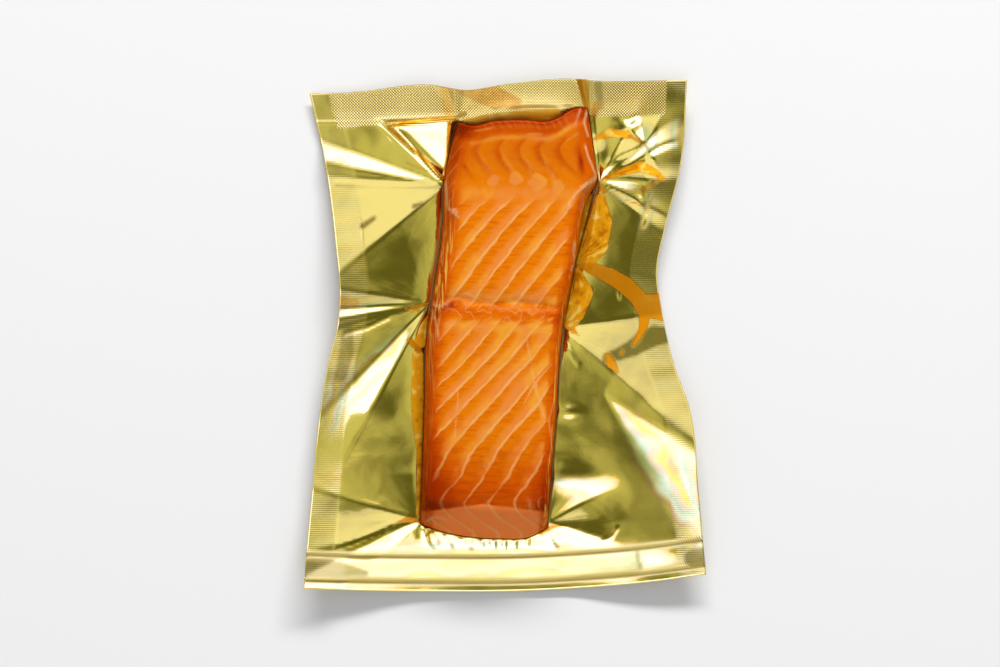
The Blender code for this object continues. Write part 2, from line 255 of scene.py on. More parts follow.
# A smooth run through (place, value) pairs in millimetres: a cubic between each two, with its slopes at the
# pairs taken from their neighbours.
def smoothCurve(pairs):
    place, value = (np.array(column) * mm for column in zip(*pairs))
    slope = np.gradient(value, place)

    def at(position):
        inside = np.clip(position, place[0], place[-1])
        low = np.clip(np.searchsorted(place, inside) - 1, 0, len(place) - 2)
        span = place[low + 1] - place[low]
        share = (inside - place[low]) / span
        rest = 1 - share
        start = value[low] * (1 + 2 * share) * rest**2 + slope[low] * span * share * rest**2
        end = value[low + 1] * share**2 * (3 - 2 * share) - slope[low + 1] * span * share**2 * rest
        return start + end

    return at


leftEdge, rightEdge, topEdge, bottomEdge = (
    smoothCurve(pouch[name]) for name in ("leftEdge", "rightEdge", "topEdge", "bottomEdge"))
filletLeft, filletRight, filletTop, filletBottom, filletThickness, shortBy = (
    smoothCurve(fillet[name]) for name in ("left", "right", "top", "bottom", "thickness", "shortBy"))
leftPart, leftRise, rightPart, rightRise = (
    smoothCurve(rim[name]) for name in ("leftPart", "leftRise", "rightPart", "rightRise"))


# How far a place is beyond the fillet's ends: (above its top line, below its bottom line), negative inside.
def pastEnds(x, y):
    return y - filletTop(x), filletBottom(x) - y


# How far a place is outside the line round the fillet where the films meet, and 0 inside it.
def distanceOutside(x, y):
    across = np.maximum(filletLeft(y) - x, x - filletRight(y))
    along = np.maximum(*pastEnds(x, y))
    return np.hypot(np.maximum(across, 0), np.maximum(along, 0))


# The rim before its folds: the parting height plus a rise that levels off with distance, an apron that
# comes down from each end of the fillet, and a lean towards the bottom edge.
def baseHeight(x, y):
    middle = (filletLeft(y) + filletRight(y)) / 2
    right = 0.5 + 0.5 * np.tanh((x - middle) / (rim["sideBlend"] * mm))
    part = leftPart(y) * (1 - right) + rightPart(y) * right
    rise = leftRise(y) * (1 - right) + rightRise(y) * right
    over = (rim["riseOver"][0] * (1 - right) + rim["riseOver"][1] * right) * mm
    height = part + rise * (1 - np.exp(-distanceOutside(x, y) / over))
    for apron, past in zip((rim["topApron"], rim["bottomApron"]), pastEnds(x, y)):
        inside = np.clip(1 + past / (rim["apronInside"] * mm), 0, 1)
        fall = inside * np.exp(-np.maximum(past, 0) / (apron["fall"] * mm))
        height = height + apron["rise"] * mm * plateau(x, apron["middle"], apron["halfWidth"]) * fall
    lean = rim["bottomLean"]
    down = np.clip((lean["from"] * mm - y) / (lean["over"] * mm), 0, lean["most"])
    return height - lean["drop"] * mm * plateau(x, lean["middle"], lean["halfWidth"]) * down


# One fan of folds: a slope that changes with the bearing, times a distance that levels off at the fan's
# reach, or fades out at its fade.
def fanHeight(x, y, atX, atY, reach, soft, fade, *folds):
    run, rise = x - atX * mm, y - atY * mm
    bearings, slopes = np.array(folds, float).T
    bearing = np.degrees(np.arctan2(rise, run))
    offsets = np.linspace(-soft, soft, rim["fanSamples"])
    slope = sum(np.interp(bearing + offset, bearings, slopes, period=360) for offset in offsets)
    slope = slope / len(offsets)
    distance = np.hypot(run, rise)
    level = distance / (1 + (distance / (reach * mm)) ** 4) ** 0.25
    return slope * level * (np.exp(-((distance / (fade * mm)) ** 4)) if fade else 1)


# A three-cornered blister in a height: a tilted flat instead of it inside the corners, and a rolled fold
# along the first two sides.
def withPocket(x, y, height, pocket):
    corners = np.array(pocket["corners"]) * mm
    inward = []
    for start, end in zip(corners, np.roll(corners, -1, 0)):
        along = (end - start) / np.hypot(*(end - start))
        inward.append((y - start[1]) * along[0] - (x - start[0]) * along[1])
    nearest = np.minimum(np.minimum(inward[0], inward[1]), inward[2])
    share = easeTo(nearest, -pocket["soft"] * mm, pocket["soft"] * mm)
    centre = corners.mean(0)
    flat = pocket["height"] * mm + pocket["tilt"][0] * (x - centre[0]) + pocket["tilt"][1] * (y - centre[1])
    roll = bell(np.minimum(inward[0], inward[1]), 0, pocket["rollWidth"] * mm)
    fade = pocket["rollFade"] * mm
    near = np.clip(1 + np.minimum(inward[2], nearest + fade) / fade, 0, 1)
    return height + share * (flat - height) + pocket["roll"] * mm * roll * near


# Where a place lies in a turned oval, in shares of the oval's half length and half width.
def ovalPlace(x, y, atX, atY, halfLength, halfWidth, turn):
    cosine, sine = np.cos(np.radians(turn)), np.sin(np.radians(turn))
    run, rise = x - atX * mm, y - atY * mm
    return (run * cosine + rise * sine) / (halfLength * mm), (rise * cosine - run * sine) / (halfWidth * mm)


# A bell-shaped hill on an oval, or a hollow where its rise is negative.
def dentHeight(x, y, rise, *oval):
    long, wide = ovalPlace(x, y, *oval)
    return rise * mm * np.exp(-(long**2) - wide**2)


# Top of the gold film on the rim: the base, the corner lifts, fans, pocket and dents, kept off the table.
def rimHeight(x, y):
    height = baseHeight(x, y) + sum(dentHeight(x, y, *lift) for lift in rim["lifts"])
    height = height + sum(fanHeight(x, y, *fan) for fan in rim["fans"])
    height = withPocket(x, y, height, rim["pocket"])
    height = height + sum(dentHeight(x, y, *dent) for dent in rim["dents"])
    lowest = (pouch["filmThickness"] + pouch["clearance"]) * mm
    soft = pouch["floorSoftness"] * mm
    return lowest + soft * np.logaddexp(0, (height - lowest) / soft)


# A rounded shoulder: 0 at its foot, steep at first, level at 1.
def shoulder(share, roundness):
    inside = np.clip(share, 0, 1)
    return (1 - (1 - inside) ** roundness) ** (1 / roundness)


# Widths of the left and right flanks at y.
def flankWidths(y):
    low, high = fillet["left"][0][0] * mm, fillet["left"][-1][0] * mm
    share = np.clip((y - low) / (high - low), 0, 1)
    flanks = fillet["leftFlank"], fillet["rightFlank"]
    return tuple((start + (end - start) * share) * mm for start, end in flanks)


# How much of the fillet's full height stands at a place: a shoulder up each side and each end, multiplied.
def filletShare(x, y):
    leftWidth, rightWidth = flankWidths(y)
    side = np.minimum((x - filletLeft(y)) / leftWidth, (filletRight(y) - x) / rightWidth)
    aboveTop, belowBottom = pastEnds(x, y)
    return (shoulder(side, fillet["flankRoundness"])
            * shoulder(-aboveTop / (fillet["topFlank"] * mm), fillet["flankRoundness"])
            * shoulder(-belowBottom / (fillet["bottomFlank"] * mm), fillet["bellyRoundness"]))


# Full height of the fillet: its thickness along the length, a crown across it and the groove of the seam.
def filletHeight(x, y):
    middle = (filletLeft(y) + filletRight(y)) / 2
    halfWidth = (filletRight(y) - filletLeft(y)) / 2
    seam = bell(y - fillet["seamTilt"] * (x - middle), fillet["seamAt"] * mm, fillet["seamHalfWidth"] * mm)
    return (filletThickness(y) + fillet["crown"] * mm * (1 - ((x - middle) / halfWidth) ** 2)
            - fillet["seamDepth"] * mm * seam)


# Line where the flesh ends at its back.
def fleshEnd(x):
    return filletTop(x) - shortBy(x)


# Top of the gold film: the rim outside the fillet with a rolled fold along the fillet's back end, curving
# down to the table beneath the flesh. The curve may start further in, by an inset in shares of its width.
def goldHeight(x, y, inset=0):
    across = np.minimum(x - filletLeft(y), filletRight(y) - x)
    along = np.minimum(fleshEnd(x) - y, y - filletBottom(x))
    share = np.clip(np.minimum(across, along) / (fillet["underEdge"] * mm) - inset, 0, 1)
    lowest = pouch["filmThickness"] * mm
    middle = (filletTop(x) + fleshEnd(x)) / 2
    width = shortBy(x) / 2 + fillet["foldSpill"] * mm
    fold = fillet["foldRise"] * np.clip(shortBy(x) / fillet["foldFullAt"], 0, mm) * bell(y, middle, width)
    return lowest + (rimHeight(x, y) + fold - lowest) * (1 - np.sqrt(1 - (1 - share) ** 2))


# Numbers 0..1, 1..2 and so on, each stretch cut into its count of equal steps.
def stepsAlong(*counts):
    stretches = [start + np.arange(count) / count for start, count in enumerate(counts)]
    return np.concatenate([*stretches, [len(counts)]])


# A point at a place among key lines: 1.25 is a quarter of the way from line 1 to line 2.
def between(keys, place):
    low = np.minimum(place.astype(int), len(keys) - 2)
    stacked = np.stack(np.broadcast_arrays(*keys))
    start = np.take_along_axis(stacked, low[None], 0)[0]
    end = np.take_along_axis(stacked, low[None] + 1, 0)[0]
    return start + (end - start) * (place - low)


# x and y of a grid whose lines follow the given key lines; the two depend on each other, so they are
# settled in turns.
def planGrid(columnCounts, rowCounts, acrossKeys, alongKeys, turns=8):
    column, row = np.meshgrid(stepsAlong(*columnCounts), stepsAlong(*rowCounts))
    x, y = np.zeros_like(column), np.zeros_like(row)
    for _ in range(turns):
        y = between(alongKeys(x), row)
        x = between(acrossKeys(y), column)
    return x, y


# Lines across the fillet: its two edges and the tops of its flanks.
def filletAcross(y):
    leftWidth, rightWidth = flankWidths(y)
    return (filletLeft(y), filletLeft(y) + leftWidth, filletRight(y) - rightWidth, filletRight(y))


# Lines along the fillet: its belly end, the top of the flank there, and its back end with a band before it.
def filletAlong(x):
    band = (fillet["topFlank"] + fillet["endFlank"] + fillet["foldFullAt"]) * mm
    belly = filletBottom(x)
    return (belly, belly + fillet["bottomFlank"] * mm, filletTop(x) - band, filletTop(x))


# The same for the flesh, which ends earlier.
def fleshAlong(x):
    return (*filletAlong(x)[:2], fleshEnd(x) - 2 * fillet["endFlank"] * mm, fleshEnd(x))


# A closed shell of quads between an upper and an under surface over one grid, with a wall round its edge.
# Each named attribute is the same above and below, apart from those in aboveOnly, which are 0 below.
def closedShell(name, x, y, upper, under, attributes, material, aboveOnly=()):
    rows, columns = x.shape
    points = np.concatenate([np.stack([x, y, z], -1).reshape(-1, 3) for z in (upper, under)])
    points[:, :2] += footprintShift
    index = np.arange(rows * columns).reshape(rows, columns)
    top = np.stack([index[:-1, :-1], index[:-1, 1:], index[1:, 1:], index[1:, :-1]], -1).reshape(-1, 4)
    ring = np.concatenate([index[0, :-1], index[:-1, -1], index[-1, :0:-1], index[:0:-1, 0]])
    following = np.roll(ring, -1)
    half = rows * columns
    wall = np.stack([ring + half, following + half, following, ring], 1)
    mesh = bpy.data.meshes.new(name)
    mesh.from_pydata(points.tolist(), [], np.concatenate([top, top[:, ::-1] + half, wall]).tolist())
    mesh.shade_smooth()
    for label, values in attributes.items():
        layer = mesh.attributes.new(label, "FLOAT", "POINT")
        below = np.zeros_like(values) if label in aboveOnly else values
        layer.data.foreach_set("value", np.stack([values, below]).ravel().astype(np.float32))
    mesh.materials.append(material)
    piece = bpy.data.objects.new(name, mesh)
    bpy.context.scene.collection.objects.link(piece)
    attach(piece, "root")
    print(name, len(mesh.polygons), "faces")
    return piece


# The pouch's grid: key lines run along its edges, the two bottom seal lines, the fillet's outline and its
# flanks, with these numbers of columns and rows between them.
grid = {"columns": (72, 9, 52, 9, 72), "rows": (4, 6, 9, 6, 9, 16, 142, 8, 22)}
seals = {"bottomLines": (4, 14.4), "lineHalfWidth": 0.9, "ribHeight": 0.22, "ribWidth": 0.55, "ribFade": 1.1,
         "sideWidth": 11, "sideStep": 0.045, "stepSoftness": 0.6, "topWidth": 14, "topInset": 3,
         "edgeSoftness": 0.3}


# Lines across the pouch: its side edges with the fillet's lines between them.
def pouchAcross(y):
    return (leftEdge(y), *filletAcross(y), rightEdge(y))


# Lines along the pouch: its bottom edge, both sides of each seal line, the fillet's lines and the top edge.
def pouchAlong(x):
    lines = [bottomEdge(x) + (line + side * seals["lineHalfWidth"]) * mm
             for line in seals["bottomLines"] for side in (-1, 1)]
    return (bottomEdge(x), *lines, *filletAlong(x), topEdge(x))


x, y = planGrid(grid["columns"], grid["rows"], pouchAcross, pouchAlong)
# The CAD is centred on its own footprint, so the pieces are moved by the same amount.
footprintShift = -np.array([(x.min() + x.max()) / 2, (y.min() + y.max()) / 2])
print("footprint shift", footprintShift)


# The distance to each stretch of a path in turn, and the share of the way along it where it is nearest.
def stretches(x, y, path):
    for start, end in zip(path, path[1:]):
        run, rise = (end[0] - start[0]) * mm, (end[1] - start[1]) * mm
        fromX, fromY = x - start[0] * mm, y - start[1] * mm
        share = np.clip((fromX * run + fromY * rise) / (run**2 + rise**2), 0, 1)
        yield np.hypot(fromX - share * run, fromY - share * rise), share


# A soft-edged stroke along a path of (x, y, half width): 1 inside, easing to 0 over the given softness.
def strokeMask(x, y, path, softness):
    mask = np.zeros_like(x)
    for (away, share), start, end in zip(stretches(x, y, path), path, path[1:]):
        beyond = away - (start[2] + (end[2] - start[2]) * share) * mm
        mask = np.maximum(mask, easeTo(-beyond, -softness * mm, softness * mm))
    return mask


# The strongest of several soft strokes, each given as its amount and its path.
def strokesMask(x, y, strokes, softness):
    return np.max([amount * strokeMask(x, y, path, softness) for amount, *path in strokes], 0)


# Raised lines on a film, each given as (rise, width, path): ridges with a bell-shaped section.
def ridgeHeight(x, y, ridges):
    return np.max([rise * mm * bell(away, 0, width * mm) for rise, width, *path in ridges
                   for away, _ in stretches(x, y, path)], 0)


# Looks of the gold back film.
goldLooks = {
    "gold": (0.95, 0.77, 0.27),
    "amber": (0.68, 0.25, 0.004),
    "amberPale": (0.80, 0.38, 0.03),
    "amberMetal": 0.3,
    "honey": (0.86, 0.38, 0.008),
    "honeyDark": (0.60, 0.19, 0.002),
    # painted glint in the honey
    "honeyGlint": (0.95, 0.66, 0.12),
    "honeyMetal": 0.15,
    "cream": (0.62, 0.49, 0.095),
    "shade": (0.16, 0.13, 0.008),
    "shadeMetal": 0.75,
    # painted shade in the embossing's hollows and on the ribs' teeth
    "embossShade": (0.38, 0.25, 0.04),
    # painted shade in the narrowest gaps and folds
    "creviceShade": (0.16, 0.034, 0.002),
    "creviceShadeMetal": 0.05,
    "pearls": ((0, (0.68, 0.58, 0.08)), (0.2, (0.66, 0.42, 0.17)), (0.4, (0.70, 0.69, 0.34)),
               (0.6, (0.47, 0.57, 0.26)), (0.8, (0.68, 0.50, 0.24)), (1, (0.68, 0.58, 0.08))),
    # how far the stripe's place, the two noises and the place along the film move the pearl colours
    "pearlSweep": (0.62, 1.6, 0.25, 6),
    # strength of a stroke from which its colour shows on the film, and from which it covers the metal
    "thinHoney": (0.08, 0.58), "thinAmber": (0.1, 0.58), "deepHoney": (0.26, 0.68), "deepAmber": (0.3, 0.7),
    "roughness": 0.08,
    "sealRoughness": 0.12,
    "sideRoughness": 0.16,
    "pearlRoughness": 0.18,
    "sideRidgePitch": 0.75,
    "sideRidgeHeight": 0.010,
    "toothPitch": 1,
    "toothHeight": 0.12,
    "toothShade": 0.85,
    "driftScale": 55,
    "streakScale": 240,
    "ripples": ((330, 0.016), (1100, 0.003)),   # as (noise scale, height)
    "diamondPitch": 0.58,
    "diamondHeight": 0.085,
    # fine creases that run out from each nip: how far, how many to a radian, and how high
    "nips": 7,   # the first fans of the rim
    "rayReach": 17,
    "raysPerRadian": 5,
    "rayHeight": 0.05,
    # upright wrinkles below the fillet, fading in and out with the distance from it
    "underWrinkles": {"pitch": 5.4, "rise": 0.4, "from": (-1.5, 0.5), "to": (-6.5, -3), "middle": (-8, 25),
                      "bendLength": 5, "lean": 120},
    # gentle waves over the whole film, as (length, direction, slope)
    "waves": ((31, 20, 0.010), (23, 100, 0.009), (17, 160, 0.008), (12, 60, 0.007), (9, 130, 0.006),
              (6.5, 10, 0.004)),
    # fields over the film: spans are (nothing at, full at) and bells (middle, width), after an amount where
    # one is given, and negative spans are of the place's negative, so they fade where it grows
    "fields": {
        "ovalFade": (-1.25, -0.55),
        # painted shade below each bottom rib, as (amount, how far below, width)
        "ribShade": (0.75, 0.6, 0.5),
        # painted shade in pleats below the fillet
        "pleats": 0.4, "pleatWaves": (0.42, 3.1), "pleatShare": (0.3, 0.95), "pleatsFrom": (-0.3, 0.3),
        "pleatsTo": (-3.6, -1.5), "pleatMiddle": (-8, 24),
        # how strong the painted shade in the top seal's embossing hollows is, and where it is stronger
        "embossShade": 0.62, "embossShadeMore": ((0.45, -14, 11), (0.5, 52, 14)),
        # creases from the nips: a factor that makes them at most about 1, and how far one nip has to lead
        "rayStrength": 2.6, "rayLead": (0.1, 0.7),
    },
}
# Soft strokes on the gold film, each as (amount, then a path of (x, y, half width)).
# Amber colour between the films and in their folds.
amberStrokes = (
    (1, (28.4, 28.4, 0.5), (35, 27, 2.2), (41.4, 24.4, 3.1), (47.8, 20.6, 3.4), (53, 15.6, 3.3),
     (55.8, 9, 2.3), (55.2, 3.6, 1.6), (53, -0.9, 1.2), (51.2, -3.4, 0.7)),
    (0.9, (56, 12.3, 4.4), (65, 11.6, 5.8)),
    (0.95, (46.6, -6.2, 0.8), (46.4, -6.7, 0.8)),
    (0.95, (40.9, -8, 1.3), (42.3, -11, 2), (44.8, -14.2, 0.5)),
    (0.6, (23, 3.6, 0.4), (27, 2.4, 1.4), (29.4, 0.2, 0.3)),
    (0.6, (50, 80, 1), (55.5, 77, 0.6)),
    (0.5, (48, 54.5, 0.5), (54.5, 52.5, 0.8)),
    (0.5, (36.8, 62.2, 0.8), (39.5, 58.5, 1.6)),
    (0.5, (-15, 86.2, 0.4), (-6, 87, 1), (8, 87.4, 1.3), (20, 88.2, 1)),
    (0.7, (-20.5, 86.6, 0.4), (-34, 85.4, 0.3), (-46, 83.4, 0.4)),
    (0.7, (-45.5, 82.6, 0.4), (-40, 77, 0.3), (-30, 68.2, 0.4), (-24.6, 62.6, 0.5)),
    (0.7, (-22.5, 85, 0.9), (-23, 74, 0.8), (-24.6, 64, 0.6)),
    (0.5, (-24.4, 60.4, 0.6), (-27, 61.2, 0.5)),
    (0.3, (-39.5, 69.5, 0.9), (-31.5, 66, 0.9)),
    (0.7, (-30.6, 13.4, 0.7), (-35, 12, 0.9), (-41, 10.5, 0.3)),
    (0.7, (-38.5, -1.5, 1.2), (-34.5, -5.5, 1.3)),
    (0.6, (-33.8, -73.8, 0.8), (-39, -73, 1.5), (-44.5, -75.2, 0.3)),
    (0.8, (-29, -77.5, 0.7), (-31.5, -79.5, 0.6)),
    (0.5, (14, -79, 1.2), (19, -76, 1.4), (24, -75.5, 0.4)),
    (0.5, (23.2, -2, 0.3), (21, -30, 0.3), (18, -72, 0.3)),
    (0.7, (30.2, 103, 2), (32.8, 90.5, 1.2)),
    (0.42, (-14, 101, 6), (-6, 96, 5), (4, 93, 3)),
    (0.25, (-22.5, 101, 2.2), (-19.5, 88, 1.6)),
    (0.45, (36.5, 92.5, 2), (34, 85.5, 1)),
)
# Paler honey colour, in broader patches beside the fillet.
honeyStrokes = (
    (0.9, (38, 55, 2), (38, 46, 4.6), (35.5, 37, 5.6), (32, 31, 4)),
    (0.95, (29, 27, 0.8), (31, 17.2, 4), (28.1, 9.3, 3.6), (25.9, 4.8, 2.4)),
    (0.8, (-30.2, 9.5, 0.3), (-33, 3.5, 1.5), (-34.2, -2.5, 2.4)),
    (0.75, (-35, -7.5, 2.2), (-35.1, -25, 2.6), (-35, -33.5, 2.3), (-34.3, -45.5, 1.4), (-34.6, -65.5, 0.9),
     (-35.2, -71, 0.9)),
    (0.62, (-20.5, 87.3, 0.9), (-34, 86.2, 1), (-46, 84, 1.1), (-46.5, 83.5, 1.1), (-40, 77.5, 0.9),
     (-30, 68.5, 1), (-24.6, 62.6, 0.8)),
    (0.5, (-40, 11, 1), (-35, 10, 1.2)),
    (0.32, (-25, 101, 2), (-22.5, 90, 2.6), (-21, 84, 1)),
    (0.3, (-66, 14, 3), (-61, 13, 3)),
    (0.4, (54.5, 58, 1.6), (62, 62.5, 1.6)),
    (0.75, (38.5, 62.8, 0.5), (47, 66, 1.6), (54, 68, 2.2), (60, 65.5, 1.4), (64, 62.5, 0.4)),
    (0.6, (34.5, 78.5, 0.5), (42, 81.5, 2.2), (49, 80.5, 1.6)),
    (0.9, (33.6, 56, 1.2), (31.4, 46, 1.6), (28.8, 34, 1)),
    (1, (-17, 85.4, 0.8), (-6, 86.4, 2.2), (8, 87, 2.8), (20, 88, 2.4)),
    (0.4, (23.4, -16.3, 0.25), (28, -21, 0.35), (33, -23.5, 0.4), (37, -23.1, 0.4), (35.8, -17.1, 0.2)),
    (0.4, (25.4, -39.1, 0.2), (28, -43, 0.3), (31, -47.5, 0.6)),
    (0.9, (27.4, 26, 0.8), (24.8, 12, 1), (23.6, 5, 0.6)),
)
# Painted shade where the film is folded away from the light, and film with a creamier tone.
shadeStrokes = (
    (0.9, (66, 0.6, 3.2), (59.8, 0.2, 4.2), (55, -2, 4), (51, -4.7, 3.4), (45.4, -7.1, 2.6),
     (40.4, -8.2, 1.7), (39.2, -10.6, 0.6)),
    (0.62, (-84, -92.4, 3.2), (-66, -93, 3.4), (-56, -94.8, 1.2)),
    (0.5, (52.6, -87, 0.9), (54, -92, 1.1)),
    (0.7, (75, -88.8, 3.6), (84, -87.2, 3.8)),
    (0.5, (-63, 4, 2), (-63.5, -6, 3), (-66, -16, 2.2)),
    (0.6, (37, 101, 1.6), (38, 92, 1.2)),
    (0.7, (-36.5, 51.9, 0.9), (-33.5, 53, 0.7)),
    (0.7, (-57, 44, 1.2), (-52.5, 47.2, 0.9)),
)
creamStrokes = (
    (0.45, (-66, 96, 6), (62, 96, 6)),
    (0.55, (-60, -94, 4.4), (0, -94, 4.4), (50, -92, 4.4)),
    (0.6, (-62, -84, 1.5), (-48, -80, 2)),
)
# Dark brown painted shade in the narrowest gaps and folds, and along the line where the films meet round the
# fillet.
creviceShadeStrokes = (
    (0.3, (-33.5, 53, 0.5), (-36.5, 51.9, 0.8)),
    (0.35, (-53, 46.6, 0.7), (-57, 44, 1)),
    (0.95, (-19, 87.7, 0.9), (-16.6, 88.8, 1)),
    (0.85, (-6, 91.2, 0.15), (8, 91.6, 0.3), (26, 92, 0.3)),
    (1, (-19.6, 85.5, 0.35), (-24.6, 62, 0.3), (-25.6, 44.5, 0.3), (-31.4, 2.5, 0.3), (-34.4, -74, 0.3)),
    (1, (35.4, 72, 0.2), (37, 62.5, 0.5), (28.2, 29.8, 0.3), (23, 2.5, 0.25), (16.9, -75, 0.2)),
)
# Ovals where the metal layer shows pastel stripes along them, as (amount, x, y, half length, half width,
# turn).
pearlOvals = (
    (0.9, -14, -94, 54, 4.4, 2),
    (0.9, -8, -84.5, 33, 3.4, 0),
    (0.9, -55, -14, 26, 5.5, 47),
    (0.9, -68, -26, 14, 5, 80),
    (0.8, -57, 14, 16, 3, 6),
    (0.8, -66, 13, 5, 5, 0),
    (0.95, 63.5, -57, 38, 8.5, -61),
    (0.9, 74, -60, 16, 5, -75),
    (0.8, 67.8, 80.5, 7, 6, 90),
    (0.8, 57, 79, 7, 5, 110),
    (0.7, -69.6, 71.5, 7, 5, -15),
    (0.8, 47.4, 57.7, 7, 4, 10),
    (0.7, 56.5, 49.5, 10, 3.5, 70),
    (0.8, 27, -59, 12, 6.5, -10),
    (0.7, 22, -82.5, 6, 4, 0),
)


# How softly each kind of stroke ends.
goldStrokes = {"amber": (0.8, amberStrokes), "honey": (0.9, honeyStrokes), "creviceShade": (0.25, creviceShadeStrokes),
               "shade": (0.8, shadeStrokes), "cream": (1.2, creamStrokes)}


# Gentle waves over a film: sines in several directions, each bent by a slower one across it.
def waveHeight(x, y):
    height = np.zeros_like(x)
    for length, direction, slope in goldLooks["waves"]:
        turn = np.radians(direction)
        along, across = x * np.cos(turn) + y * np.sin(turn), y * np.cos(turn) - x * np.sin(turn)
        pace = 2 * np.pi / (length * mm)
        bend = 1.7 * np.sin(pace * across / 2.3 + turn)
        height = height + slope / pace * np.sin(pace * along + bend + direction)
    return height


# The seals' own relief: a step at the inner edge of each side seal, two ribs along the bottom, and upright
# wrinkles in the film just below the fillet.
def sealRelief(x, y):
    fromSide = np.minimum(x - leftEdge(y), rightEdge(y) - x)
    width, soft = seals["sideWidth"], seals["stepSoftness"]
    height = seals["sideStep"] * mm * easeTo(fromSide / mm, width - soft, width + soft)
    fromBottom = y - bottomEdge(x)
    for line in seals["bottomLines"]:
        height = height + seals["ribHeight"] * mm * bell(fromBottom, line * mm, seals["ribWidth"] * mm)
    wrinkles = goldLooks["underWrinkles"]
    below = filletBottom(x) - y
    where = easeTo(below / mm, *wrinkles["from"]) * easeTo(-below / mm, *wrinkles["to"])
    where = where * plateau(x, *wrinkles["middle"])
    pace = 2 * np.pi * x / (wrinkles["pitch"] * mm)
    wave = np.sin(pace + 2 * np.sin(x / (wrinkles["bendLength"] * mm)) + wrinkles["lean"] * y)
    return height + wrinkles["rise"] * mm * where * wave


# Gold film: honey and amber colour in the folds, with painted glints in the honey, pastel stripes on the
# stretched places, painted shade in folds, gaps and the top seal's embossing, fine ridges on the side seals,
# diamond embossing on the top seal and a serrated edge along the bottom ribs.
def goldMaterial():
    look = goldLooks
    material, graph = newMaterial("gold_film")
    place = graph.places()
    across = graph.node("SeparateXYZ", {0: place})
    along = across.other(1)
    pearl, stripe, amber, honey, creviceShade = graph.attributes("pearl", "stripe", "amber", "honey", "creviceShade")
    sideSeal, topSeal, rib = graph.attributes("sideSeal", "topSeal", "rib")
    drift = graph.noise(place, look["driftScale"], 1)
    streaks = graph.noise(place, look["streakScale"], 2)
    byStripe, byDrift, byStreaks, byPlace = look["pearlSweep"]
    sweep = stripe * byStripe + drift * byDrift + streaks * byStreaks + along * byPlace
    pearlColour = graph.node("ValToRGB", {0: graph.maths("FRACT", sweep)}, stops=look["pearls"])
    rayStrength, embossShade = graph.attributes("rayStrength", "embossShade")
    around = graph.node("CombineXYZ", {0: graph.attribute("rays"), 1: rayStrength * 1.2})
    rays = graph.noise(around, 1, 3, 0.6)
    honey = honey * (streaks * 0.5 + 0.75)
    amber = amber * (graph.ease(streaks, 0.2, 0.6) * 0.2 + 0.8)
    honeyShare, amberShare = graph.ease(honey, *look["thinHoney"]), graph.ease(amber, *look["thinAmber"])
    deepHoney, deepAmber = graph.ease(honey, *look["deepHoney"]), graph.ease(amber, *look["deepAmber"])
    # The honey's tone follows the nips' creases and noise; its bright end is a painted glint.
    honeyTone = (rays - 0.5) * rayStrength * 1.8 + (streaks - 0.5) * 1.2 + (drift - 0.5) * 0.6
    honeyColour = graph.layers(look["honey"], (graph.ease(honeyTone, 0, -0.3), look["honeyDark"]),
                               (graph.ease(honeyTone, 0.08, 0.3), look["honeyGlint"]))
    paleAmber = graph.ease(drift + streaks * 0.5, 0.72, 1.25)
    shade, cream = graph.attributes("shade", "cream")
    dull = graph.maths("MAXIMUM", deepHoney * (1 - look["honeyMetal"]), deepAmber * (1 - look["amberMetal"]))
    dull = graph.maths("MAXIMUM", dull, creviceShade * (1 - look["creviceShadeMetal"]))
    dull = graph.maths("MAXIMUM", dull * (1 - shade), shade * (1 - look["shadeMetal"]))
    ridges = graph.maths("SINE", along * (2 * np.pi / (look["sideRidgePitch"] * mm)))
    ridges = ridges * sideSeal * (look["sideRidgeHeight"] * 0.5)
    turn = np.pi / (look["diamondPitch"] * mm)
    leaning = graph.maths("COSINE", (along + across) * turn) * 0.5 + 0.5
    rising = graph.maths("COSINE", (along - across) * turn) * 0.5 + 0.5
    diamonds = leaning * rising
    teeth = graph.maths("SINE", (across + along * 0.6) * (2 * np.pi / (look["toothPitch"] * mm)))
    colour = graph.layers(
        look["gold"], (pearl * graph.ease(drift, 0.2, 0.5), pearlColour), (cream, look["cream"]),
        (honeyShare, honeyColour), (amberShare, graph.blend(paleAmber, look["amber"], look["amberPale"])),
        (shade, look["shade"]), (creviceShade, look["creviceShade"]),
        # Painted shade in the embossing's hollows and on the ribs' teeth.
        (graph.ease(diamonds, 0.45, 0.1) * embossShade, look["embossShade"]),
        (graph.ease(teeth, -0.2, 0.6) * rib * look["toothShade"], look["embossShade"]))
    broad, fine = (graph.noise(place, scale, 1) * height for scale, height in look["ripples"])
    relief = ridges + diamonds * topSeal * look["diamondHeight"] + teeth * rib * look["toothHeight"]
    relief = relief + (broad + fine)
    normal = graph.bump(relief + rays * rayStrength * look["rayHeight"], mm)
    base = look["roughness"]
    soft = topSeal * (look["sealRoughness"] - base) + sideSeal * (look["sideRoughness"] - base)
    gold = graph.node("BsdfPrincipled", {
        "Base Color": colour, "Metallic": 1 - dull,
        "Roughness": base + soft + pearl * (look["pearlRoughness"] - base),
        "Specular IOR Level": 0, "Normal": normal})
    graph.node("OutputMaterial", {"Surface": gold})
    return material


# Rays from the places where the films are nipped: the bearing from the nearest one, counted up or down from
# straight across, and how strong its creases are, which grow with distance and then fade.
def nipRays(x, y):
    bearing, nearest, second = np.zeros_like(x), np.zeros_like(x), np.zeros_like(x)
    for atX, atY, *_ in rim["fans"][:goldLooks["nips"]]:
        run, rise = x - atX * mm, y - atY * mm
        near = bell(np.hypot(run, rise), 0, goldLooks["rayReach"] * mm)
        bearing = np.where(near > nearest, np.arctan2(rise, np.abs(run)) + atY, bearing)
        second = np.maximum(second, np.minimum(near, nearest))
        nearest = np.maximum(nearest, near)
    field = goldLooks["fields"]
    strength = nearest * np.sqrt(np.clip(1 - nearest, 0, 1)) * field["rayStrength"]
    strength = strength * easeTo((nearest - second) / (nearest + 1e-6), *field["rayLead"])
    return bearing * goldLooks["raysPerRadian"], strength


